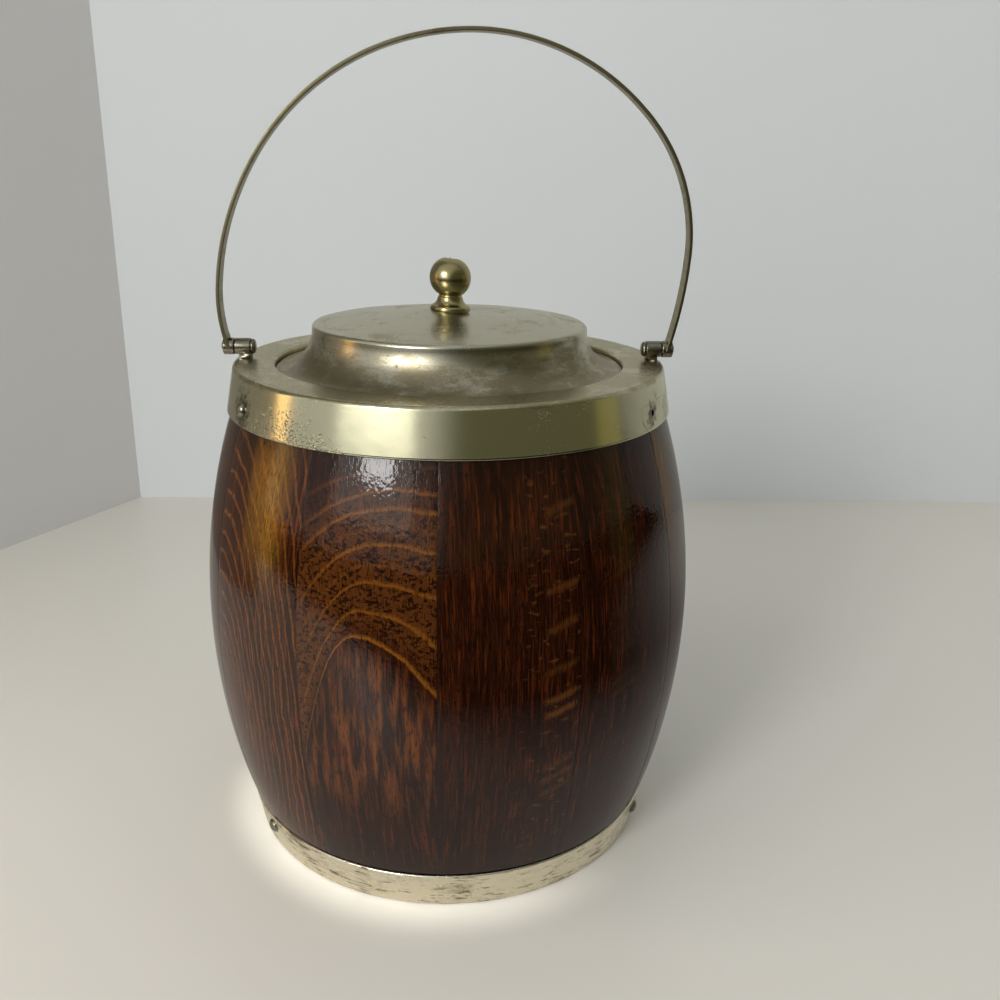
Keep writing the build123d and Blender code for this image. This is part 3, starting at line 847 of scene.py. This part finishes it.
def divided(outline, longest, closed):
    """The outline with extra points, so that no run is longer than this."""
    dense = []
    for start, end in zip(outline, outline[1:] + (outline[:1] if closed else [])):
        length = math.dist(start, end)
        parts = max(1, math.ceil(length / longest))
        shares = [i / parts for i in range(parts)]
        if length > long_run:
            shares += [end_gap / length, 1 - end_gap / length]
        dense += [tuple(Vector(start).lerp(Vector(end), share)) for share in sorted(shares)]
    return dense if closed else dense + [outline[-1]]


def turned(name, outline, steps=288, longest=2.0, waver=0.03, closed=True):
    """Turns an outline about Z. A point on the axis becomes a single pole."""
    mesh = bmesh.new()
    rings = []
    for radius, height in divided(outline, longest, closed):
        on_axis = radius < almost_zero
        ring = []
        for step in range(1 if on_axis else steps):
            point = round_jar(360 * step / steps, radius, height)
            if not on_axis:
                point *= 1 + waver * noise.noise(point / waver_length) / radius
            ring.append(mesh.verts.new(point * MM))
        rings.append(ring)
    for ring, above in zip(rings, rings[1:] + (rings[:1] if closed else [])):
        for step in range(steps):
            after = (step + 1) % steps
            corners = [ring[step % len(ring)], ring[after % len(ring)],
                       above[after % len(above)], above[step % len(above)]]
            corners = list(dict.fromkeys(corners))
            if len(corners) > 2:
                mesh.faces.new(corners)
    bmesh.ops.recalc_face_normals(mesh, faces=mesh.faces)
    return meshed(name, mesh)


print("a run over", long_run, "mm gets points", end_gap, "mm from its ends")

# %% [markdown]
# ## The rim collar
# One sheet makes the ledge that carries the lid, the throat, the flat top and the leaning
# skirt. The hole of the lost pin is cut through it by a Boolean modifier, as a drill would,
# and the result is copied out as a plain mesh.

# %% Rim collar
rim_sheet, throat_depth, opening_radius, mouth_radius = 1.0, 2.2, 48.2, 44.03
ledge, skirt_end, hole_radius, drill_depth = rim_top - throat_depth, rim_foot + 0.18, 0.8, 6
collar_path = rounded(
    [(mouth_radius, ledge), (opening_radius, ledge), (opening_radius, rim_top),
     (skirt_radius - skirt_flare, rim_top), (skirt_radius, skirt_end)],
    radii=[0.5, 0.9, 1.2],
)
collar = turned("rim_collar_spun", sheet_outline(collar_path, rim_sheet))

mesh = bmesh.new()
bmesh.ops.create_cone(mesh, cap_ends=True, segments=24, radius1=hole_radius * MM,
                      radius2=hole_radius * MM, depth=drill_depth * MM)
drill = meshed("drill", mesh)
outward = round_jar(rim_pin_turns[lost_pin], 1.0, skirt_lean)
drill.matrix_world = (Matrix.Translation(rim_pin_places[lost_pin] * MM)
                      @ outward.to_track_quat("Z", "Y").to_matrix().to_4x4())
cut = collar.modifiers.new("drill", "BOOLEAN")
cut.object = drill
graph = bpy.context.evaluated_depsgraph_get()
drilled = bpy.data.meshes.new_from_object(collar.evaluated_get(graph), depsgraph=graph)
collar.modifiers.remove(cut)
bpy.data.objects.remove(drill)
print("drilled:", len(collar.data.polygons), "->", len(drilled.polygons), "faces")
collar.data = drilled
finish_piece(collar, polished, "root", "nickel_silver_polished", "rim_collar")

# %% [markdown]
# ## The base ring
# A leaning wall with a rounded foot, and a lip that the staves stand on. It ends just below
# the wood's shoulder, and the narrow dark gap between them draws a line round the jar.

# %% Base ring
ring_lip, ring_sheet = 6.2, 1.0
ring_path = rounded(
    [(ring_radius, ring_height - ring_sheet / 2), (ring_radius - ring_flare, 0.0),
     (ring_radius - ring_flare - ring_lip, 0.0)],
    radii=[1.2],
)
foot_ring = turned("base_ring_spun", sheet_outline(ring_path, ring_sheet))
finish_piece(foot_ring, pitted, "root", "nickel_silver_pitted", "base_ring")

# %% [markdown]
# ## Pins
# Round-headed pins repeat, so Geometry Nodes make them. A sphere is pressed flat below and
# lowered to the height of a head, a cylinder is its shank, and the pair is placed on every
# point of a small mesh, turned so that it stands out of the metal. The points come from
# the list of places above.

# %% Geometry Nodes tree for the pins
pin = {"Head Radius": 2.0, "Head Rise": 1.3, "Shank Radius": 0.75, "Shank Length": 4.6,
       "Lean": 0.0}
tree = new_tree("domed_pins", pin, "Metal")
tree.interface.move(tree.interface.new_socket(
    "Places", in_out="INPUT", socket_type="NodeSocketGeometry"), 0)
given = add(tree, "NodeGroupInput").outputs
ball = add(tree, "GeometryNodeMeshUVSphere", 32, 24,
           add(tree, "MULTIPLY", given["Head Radius"], MM))
at = add(tree, SPLIT, add(tree, "GeometryNodeInputPosition")).outputs
share = add(tree, "DIVIDE", given["Head Rise"], given["Head Radius"])
rise = add(tree, "MAXIMUM", add(tree, "MULTIPLY", at["Z"], share), 0.0)
head = add(tree, "GeometryNodeSetPosition", ball, None,
           add(tree, JOIN, at["X"], at["Y"], rise))
length = add(tree, "MULTIPLY", given["Shank Length"], MM)
shank = add(tree, "GeometryNodeMeshCylinder", 24, 1, 1,
            add(tree, "MULTIPLY", given["Shank Radius"], MM), length)
sunk = add(tree, "GeometryNodeTransform", shank, Translation=add(
    tree, JOIN, 0.0, 0.0, add(tree, "MULTIPLY", length, -0.5)))
both = add(tree, "GeometryNodeJoinGeometry", head)
tree.links.new(sunk.outputs[0], both.inputs[0])
level_place = add(tree, VECTOR, add(tree, "GeometryNodeInputPosition"), (1, 1, 0),
                  operation="MULTIPLY")
outward = add(tree, VECTOR, add(tree, VECTOR, level_place, operation="NORMALIZE"),
              add(tree, JOIN, 0.0, 0.0, given["Lean"]))
facing = add(tree, "FunctionNodeAlignRotationToVector", Vector=outward, axis="Z")
placed = add(tree, "GeometryNodeInstanceOnPoints", given["Places"], Instance=both,
             Rotation=facing)
add(tree, "NodeGroupOutput",
    add(tree, "GeometryNodeSetMaterial", add(tree, "GeometryNodeRealizeInstances", placed),
        None, given["Metal"]))
print("pin tree:", len(tree.nodes), "nodes")

# %% Pins of the rim and of the foot
for name, node, places, lean in (
    ("rim_pins_domed", "rim_pins", rim_pin_places[:1] + rim_pin_places[2:], skirt_lean),
    ("base_pins_domed", "base_pins", ring_pin_places, -ring_lean),
):
    points = bpy.data.meshes.new(name)
    points.from_pydata([place * MM for place in places], [], [])
    pins = grown(name, bpy.data.node_groups["domed_pins"],
                 pin | {"Lean": lean, "Metal": tarnished}, points)
    finish_piece(pins, tarnished, "root", "nickel_silver_tarnished", node, crease=50)

# %% [markdown]
# ## The lid
# Its outline is a chain of arcs: a shallow dome, a small round at the shoulder, and a deep
# hollow, the cove, that sweeps down to a flat flange. Each arc but the last leaves in the
# direction that the one before arrived in. The spun sheet wavers a little more than the rim.

# %% Lid
lid_sheet, flange, cove_width, cove_rise, cove_radius = 0.9, 1.3, 7.9, 10.4, 10.5
shoulder_round, dome_rise = 1.1, 3.0
flange_top = ledge + lid_sheet
cove_foot = (lid_radius - flange, flange_top)
cove_top = (cove_foot[0] - cove_width, flange_top + cove_rise)
chord = Vector(cove_top) - Vector(cove_foot)
lift = math.atan2(chord.y, chord.x) + math.asin(chord.length / (2 * cove_radius))
cove_centre = centre_from_heading(cove_foot, (math.cos(lift), math.sin(lift)), cove_top)
dome_edge = (cove_top[0] - shoulder_round, cove_top[1] + shoulder_round)
crown = (0.0, dome_edge[1] + dome_rise)
lid_path = (
    arc(crown, dome_edge, centre_from_heading(crown, (1, 0), dome_edge), step=0.6)
    + arc(dome_edge, cove_top, centre_from_heading(cove_top, (0, 1), dome_edge), step=10)[1:]
    + arc(cove_top, cove_foot, cove_centre, step=4)[1:]
    + [(lid_radius, flange_top)]
)
lid = turned("lid_cover_spun", sheet_outline(lid_path, lid_sheet), waver=0.05)
finish_piece(lid, satin, "lid", "nickel_silver_satin", "lid_cover")

# %% [markdown]
# ## The knob
# It was turned from solid metal: a rounded foot, a flare, a narrow neck with a bead, and a
# ball. It closes on the axis at its top, and below it stops on the lid.

# %% Knob
ball_radius, foot_radius, foot_rise, foot_edge, shank_radius = 5.7, 5.6, 1.5, 0.42, 1.5
foot_widest = foot_rise * 0.45
neck_radius, neck_rise, bead_radius, bead_rise = 3.45, 3.7, 3.95, 4.6
flare_width, flare_rise = 0.45, 2.4
ball_centre = (0.0, knob_top - ball_radius)
foot_low = (foot_radius - foot_edge, lid_crown)
foot_high = (foot_radius - foot_edge, lid_crown + foot_rise)
foot_out = (foot_radius, lid_crown + foot_widest)
neck = (neck_radius, lid_crown + neck_rise)
flare = (neck_radius + flare_width, lid_crown + flare_rise)
bead = (bead_radius, lid_crown + bead_rise)
joint_radius = (neck_radius + bead_radius) / 2
ball_joint = (joint_radius, ball_centre[1] - math.sqrt(ball_radius**2 - joint_radius**2))
ball_side = (ball_radius, ball_centre[1])
knob_path = (
    [(0.0, lid_crown - lid_sheet), (shank_radius, lid_crown - lid_sheet),
     (shank_radius, lid_crown)]
    + arc(foot_low, foot_high, centre_through(foot_low, foot_out, foot_high), step=15)
    + arc(foot_high, neck, centre_through(foot_high, flare, neck), step=10)[1:]
    + arc(neck, ball_joint, centre_through(neck, bead, ball_joint), step=12)[1:]
    + arc(ball_joint, ball_side, ball_centre, step=4)[1:]
    + arc(ball_side, (0.0, knob_top), ball_centre, step=4)[1:]
)
knob = turned("lid_knob_turned", knob_path, steps=96, longest=1.0, waver=0.02, closed=False)
finish_piece(knob, knob_metal, "lid", "nickel_brass_knob", "lid_knob")

# %% [markdown]
# ## The bail
# The handle is one strip of half-hard nickel silver, bent by hand and since then pulled a
# little to one side. Its line is a chain of arcs that flow into each other, from the crown
# down to each hinge.

# %% Line of the bail
knuckle_low, knuckle_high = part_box("bail_knuckle_right")
hinge_z = (knuckle_low.z + knuckle_high.z) / 2 / MM
knuckle_x = (knuckle_low.x + knuckle_high.x) / 2 / MM
strip_width, strip_thickness, strip_crown, foot_drop = 5.0, 1.35, 0.4, 0.4
bail_crown = (6.5, bail_top - strip_thickness / 2)
bow_right = (knuckle_x + 4.4, hinge_z + 25.7)
bow_left = (-knuckle_x - 1.8, hinge_z + 16.7)


def between(bow, share):
    """A point on the way from the crown to a bow, at this share across and down."""
    return tuple(top + (low - top) * part for top, low, part in zip(bail_crown, bow, share))


def arc_chain(points, heading):
    """Arcs through the points, each flowing out of the one before it."""
    chain = [points[0]]
    for start, end in zip(points, points[1:]):
        centre = centre_from_heading(start, heading, end)
        chain += arc(start, end, centre, step=1.5)[1:]
        spoke = Vector(end) - Vector(centre)
        heading = (-spoke.y, spoke.x)
        if Vector(heading).dot(Vector(end) - Vector(chain[-2])) < 0:
            heading = (spoke.y, -spoke.x)
    return chain


right_line = arc_chain([bail_crown, between(bow_right, (0.784, 0.364)), bow_right,
                        (knuckle_x, hinge_z - foot_drop)], (1, 0))
left_line = arc_chain([bail_crown, between(bow_left, (0.424, 0.101)),
                       between(bow_left, (0.819, 0.463)), bow_left,
                       (-knuckle_x, hinge_z - foot_drop)], (-1, 0))
bail_line = left_line[::-1] + right_line[1:]
print("bail line:", len(bail_line), "points")

# %% [markdown]
# A cross-section with a flat back, a low crown outside and rubbed-down edges is carried
# along that line. A slow noise keeps the strip from being perfectly true.

# %% Carry the section along the line
half_width, half_thick, edge_round = strip_width / 2, strip_thickness / 2, 0.22
bend_length, bend_height = 19, 0.12
section = rounded(
    [(0, -half_thick), (half_width, -half_thick), (half_width, half_thick - strip_crown),
     (0, half_thick)],
    radii=[edge_round, edge_round],
)
section += [(-across, out) for across, out in section[-2:0:-1]]
mesh = bmesh.new()
loops = []
for index, (x, z) in enumerate(bail_line):
    along = (Vector(bail_line[min(index + 1, len(bail_line) - 1)])
             - Vector(bail_line[max(index - 1, 0)])).normalized()
    bend = noise.noise(Vector((x, z, 3.0)) / bend_length) * bend_height
    loop = []
    for across, out in section:
        place = Vector((x, z)) + Vector((-along.y, along.x)) * (out + bend * 0.5)
        loop.append(mesh.verts.new(Vector((place.x, across + bend, place.y)) * MM))
    loops.append(loop)
for loop, after in zip(loops, loops[1:]):
    for index in range(len(loop)):
        other = (index + 1) % len(loop)
        mesh.faces.new([loop[index], loop[other], after[other], after[index]])
mesh.faces.new(loops[0])
mesh.faces.new(loops[-1])
bmesh.ops.recalc_face_normals(mesh, faces=mesh.faces)
strip = meshed("bail_strip_bent", mesh)
finish_piece(strip, handle_metal, "bail", "nickel_silver_bail", "bail_strip")

# %% [markdown]
# ## Small parts
# The hinge lugs, knuckles and pins already have the right shape, down to their rounded
# edges. Their meshes are loose triangles though, which shade as facets, so each is copied,
# its doubled vertices are merged, and the copy is shaded smooth. It then stands for the
# original.

# %% Copies of the small parts


def smooth_copy(node, material, body, slot):
    """A merged and smoothly shaded copy of a node, which stands for it."""
    copy = new_object(node + "_finished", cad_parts[node].data.copy())
    mesh = bmesh.new()
    mesh.from_mesh(copy.data)
    bmesh.ops.remove_doubles(mesh, verts=mesh.verts, dist=1e-6)
    mesh.to_mesh(copy.data)
    mesh.free()
    finish_piece(copy, material, body, slot, node, crease=32)


for side_name in ("left", "right"):
    smooth_copy(f"hinge_lug_{side_name}", tarnished, "root", "nickel_silver_tarnished")
    smooth_copy(f"hinge_pin_{side_name}", tarnished, "root", "nickel_silver_tarnished")
    smooth_copy(f"bail_knuckle_{side_name}", tarnished, "bail", "nickel_silver_tarnished")
smooth_copy("lid_bezel", satin, "lid", "nickel_silver_satin")
smooth_copy("knob_washer", brass, "lid", "brass_small")
smooth_copy("knob_nut", brass, "lid", "brass_small")

# %% [markdown]
# ## The liner
# A glazed liner keeps the biscuits from the wood. It is thrown stoneware with a white tin
# glaze: a hard gloss over a body that is never quite even, with a few iron specks. The
# glaze pools and thins, so its colour drifts slowly, and the thrower's fingers left faint
# rings, which a bump gives.

# %% White glaze
glaze, tree, surface = new_material("white_glazed_stoneware")
place = millimetres(tree)
pooled = add(tree, RANGE, patches(tree, place, (18, 18, 12), 3.0), 0.35, 0.7)
specks = add(tree, RANGE, patches(tree, place, (0.7, 0.7, 0.7), 1.0), 0.74, 0.80, 0.0, 0.6)
ripple = add(tree, "ShaderNodeBump", Strength=0.5, Distance=0.12 * MM,
             Height=patches(tree, place, (40, 40, 3.5), 2.0))
fill(tree, surface, Roughness=0.12, IOR=1.52, Normal=ripple,
     Base_Color=layered(tree, "#efe9dc", (pooled, "#e2d9c6"), (specks, "#6b5238")))
print(glaze.name, len(tree.nodes), "nodes")

# %% Liner
liner_wall, liner_floor, liner_taper = 3.6, 4.5, 2.0
liner_path = rounded(
    [(0, liner_foot), (liner_radius - liner_taper, liner_foot), (liner_radius, liner_top),
     (liner_radius - liner_wall, liner_top),
     (liner_radius - liner_wall - liner_taper, liner_foot + liner_floor),
     (0, liner_foot + liner_floor)],
    radii=[9.0, 1.4, 1.4, 7.0],
)
liner = turned("liner_glazed", liner_path, steps=192, longest=6.0, waver=0.12, closed=False)
finish_piece(liner, glaze, "root", "liner_glaze", "ceramic_liner")

# %% [markdown]
# ## The bottom board
# It is plain oak, oiled and not varnished, so it is lighter and dull. The grain runs from
# front to back, and its pores are long open grooves.

# %% Oiled oak
oiled_oak, tree, surface = new_material("oiled_oak_board")
place = millimetres(tree)
pores = add(tree, RANGE, patches(tree, place, (0.5, 8.0, 0.5), 3.0, 0.6), 0.5, 0.36)
streaks = add(tree, RANGE, patches(tree, place, (3.0, 50.0, 3.0), 3.0), 0.3, 0.7)
relief = add(tree, "ShaderNodeBump", Distance=0.08 * MM,
             Height=add(tree, "MULTIPLY", pores, -1.0))
fill(tree, surface, Roughness=0.62, Normal=relief,
     Base_Color=layered(tree, "#7d5c3c", (streaks, "#9a7850"), (pores, "#3a2616", 0.7)))
smooth_copy("bottom_board", oiled_oak, "root", "oak_bare")

# %% [markdown]
# ## A table and two walls
# The jar stands on a white table near a pale wall. Metal is a mirror of its surroundings,
# so these matter as much as the metal itself. The walls show only their room side, so that
# they never hide the jar from a camera behind them. In reflections the table is dark, but
# for a ring round the jar and wide patches on the left and behind it on the right. The
# room before it seems unlit then, and that keeps the varnish deep.

# %% Paint


def painted(name, code, roughness, mirrored_code, dark_beyond=(), one_sided=False):
    """Plain paint with a faint unevenness. Reflections show it in another colour, but not
    within the circles of dark_beyond, each a centre with two distances to fade between."""
    material, tree, surface = new_material(name)
    place = millimetres(tree)
    cloud = add(tree, RANGE, patches(tree, place, (400, 400, 400)), 0.0, 1.0, 0.0, 0.05)
    mirrored = add(tree, "ShaderNodeLightPath").outputs["Is Glossy Ray"]
    for centre, start, end in dark_beyond:
        away = add(tree, VECTOR, place, centre, operation="DISTANCE").outputs["Value"]
        mirrored = add(tree, "MULTIPLY", mirrored, add(tree, RANGE, away, start, end))
    fill(tree, surface, Roughness=roughness,
         Base_Color=layered(tree, code, (cloud, "#000000"), (mirrored, mirrored_code)),
         Specular_IOR_Level=add(tree, "MULTIPLY_ADD", mirrored, -0.5, 0.5))
    if one_sided:
        facing_away = add(tree, "ShaderNodeNewGeometry").outputs["Backfacing"]
        fill(tree, tree.nodes["Material Output"],
             Surface=add(tree, "ShaderNodeMixShader", facing_away, surface,
                         add(tree, "ShaderNodeBsdfTransparent")))
    print(name, len(tree.nodes), "nodes")
    return material


table_paint = painted("white_table", "#ece7dd", 0.38, "#24221c",
                      [((0, 0, 0), 85, 190), ((-250, 100, 0), 310, 380),
                       ((345, 225, 0), 110, 350)])
wall_paint = painted("pale_wall", "#dde0e1", 0.9, "#cdcdc6", one_sided=True)
side_paint = painted("side_wall", "#e2e0de", 0.9, "#b0aba0", one_sided=True)

# %% [markdown]
# The foot ring leans, so it throws the window's light down again, and a bright edge lies on
# the table along the jar's front and left. A renderer finds such a reflection only slowly
# and with much noise. So the paint itself glows there a little, close to the ring, and the
# glow isn't mirrored.

# %% Light thrown by the foot ring
glow_start, glow_end, glow_full_at, glow_strength = 59.0, 73.0, 55.0, 0.30
tree = table_paint.node_tree
place = millimetres(tree)
from_axis = add(tree, VECTOR, place, operation="LENGTH").outputs["Value"]
beside_ring = add(tree, RANGE, from_axis, glow_end, glow_start, **SMOOTH)
windowward = add(tree, VECTOR, place, round_jar(-37, 1.0, 0.0),
                 operation="DOT_PRODUCT").outputs["Value"]
thrown = add(tree, RANGE, windowward, 0.0, glow_full_at, 0.0, glow_strength, **SMOOTH)
unmirrored = add(tree, "SUBTRACT", 1.0,
                 add(tree, "ShaderNodeLightPath").outputs["Is Glossy Ray"])
fill(tree, tree.nodes["Principled BSDF"], Emission_Color=rgb("#fbf8ee"),
     Emission_Strength=add(tree, "MULTIPLY", add(tree, "MULTIPLY", beside_ring, thrown),
                           unmirrored))
print("thrown light reaches", glow_end - glow_start, "mm from the ring")

# %% Table and walls


def panel(name, corners, material):
    """A flat stage surface through four corners, in metres."""
    mesh = bpy.data.meshes.new(name)
    mesh.from_pydata(corners, [], [(0, 1, 2, 3)])
    mesh.materials.append(material)
    piece = new_object(name, mesh)
    print(name, "at", [round(value, 2) for value in corners[0]])


corner, wall_far, side_near, wall_top = (-0.182, 0.288), (3.0, 0.225), (-0.345, -0.015), 1.6
side, back = 3, 0.3
panel("table", [(-side, -side, 0), (side, -side, 0), (side, back, 0), (-side, back, 0)],
      table_paint)
panel("wall_behind", [(*wall_far, wall_top), (*corner, wall_top), (*corner, 0),
                      (*wall_far, 0)], wall_paint)
panel("wall_left", [(*corner, wall_top), (*side_near, wall_top), (*side_near, 0),
                    (*corner, 0)], side_paint)

# %% [markdown]
# ## Light
# Five lamps do the work. A tall soft one is the window in front on the left, which the rim
# mirrors as a cream band. A small strong one above it gives the sparkle under the rim, and
# a low warm one the golden glow down the left of the barrel. A weak one on the other side
# makes the narrow gold band on the rim's right. The last stands for all the light that
# comes in beside the window: it lights the table and makes the soft shadow, but isn't
# mirrored. A lamp's strength is set by how bright its face looks, because that is what
# shows in the metal: 1 is the brightness of white paper.

# %% Lamps


def lamp(name, azimuth, distance, heights, width, brightness, code, tilt_at=0.12,
         mirrored=True):
    """A soft lamp round the jar. Azimuth runs from the front towards the right."""
    low, high = heights
    place = round_jar(azimuth, distance, (low + high) / 2)
    data = bpy.data.lights.new(name, "AREA")
    data.shape = "RECTANGLE"
    data.size, data.size_y = width, high - low
    data.energy = brightness * math.pi * width * (high - low)
    data.color = rgb(code)[:3]
    piece = bpy.data.objects.new(name, data)
    piece.location = place
    aim = Vector((0, 0, tilt_at)) - place
    piece.rotation_euler = aim.to_track_quat("-Z", "Y").to_euler()
    piece.visible_camera = False
    piece.visible_glossy = mirrored
    bpy.context.scene.collection.objects.link(piece)
    print(f"{name}: {data.energy:.2f} W")


lamp("window_tall", -36, 1.0, (0.20, 0.76), 0.70, 1.3, "#fffdf4", tilt_at=0.36)
lamp("window_bright", -35, 1.2, (0.41, 0.80), 0.34, 16.0, "#ffffff", tilt_at=0.14)
lamp("warm_low", -94, 0.50, (0.0, 0.30), 0.22, 1.7, "#ffc35e")
lamp("warm_beside", 81, 0.55, (0.0, 0.25), 0.14, 0.15, "#ffed7e")
lamp("beside_window", -70, 1.1, (0.45, 1.25), 0.9, 1.75, "#fffdf8", mirrored=False)

# %% [markdown]
# The rest of the room is the world: pale on the left and above, dimmer on the right, and
# dark in one direction, in front on the right. Mirrors see a brighter room than the paint
# is lit by. The camera itself sees a plain pale backdrop.

# %% World
world = bpy.data.worlds.new("room")
bpy.context.scene.world = world
world.use_nodes = True
tree = world.node_tree
toward = add(tree, "ShaderNodeTexCoord").outputs["Generated"]
rays = add(tree, "ShaderNodeLightPath").outputs
dark_way, dark_edge, dark_core = round_jar(42, 1.0, -0.1), 0.52, 0.82
facing_dark = add(tree, VECTOR, toward, dark_way, operation="DOT_PRODUCT").outputs["Value"]
rightward = add(tree, SPLIT, toward).outputs["X"]
room = layered(tree, "#c6c8c6", (add(tree, RANGE, rightward, 0.1, 0.8), "#7c7b6e"),
               (add(tree, RANGE, facing_dark, dark_edge, dark_core, **SMOOTH), "#605f49"))
shown = layered(tree, "#aeb1b3", (rays["Is Glossy Ray"], room),
                (rays["Is Camera Ray"], "#c6c9ca"))
fill(tree, tree.nodes["Background"], Color=shown)
print("world:", len(tree.nodes), "nodes")

# %% [markdown]
# ## The camera
# It stands close, a little above the rim and looking down. It is placed by a matrix
# whose columns are its right, its up and its backward direction.

# %% Camera and view
pitch, yaw, roll = math.radians(18.61), math.radians(3.0), math.radians(0.94)
standpoint = (0, -0.2798, 0.1895)
ahead = Vector((math.sin(yaw) * math.cos(pitch), math.cos(yaw) * math.cos(pitch),
                -math.sin(pitch)))
level = ahead.cross(Vector((0, 0, 1))).normalized()
above = level.cross(ahead)
right = level * math.cos(roll) + above * math.sin(roll)
up = above * math.cos(roll) - level * math.sin(roll)
camera_data = bpy.data.cameras.new("camera")
camera_data.sensor_width = camera_data.lens = 36.0
camera = bpy.data.objects.new("camera", camera_data)
camera.matrix_world = Matrix.Translation(standpoint) @ Matrix(
    (right, up, -ahead)).transposed().to_4x4()
bpy.context.scene.collection.objects.link(camera)
bpy.context.scene.camera = camera
bpy.context.scene.view_settings.view_transform = "Standard"
print("camera at", tuple(round(value, 3) for value in camera.matrix_world.translation))
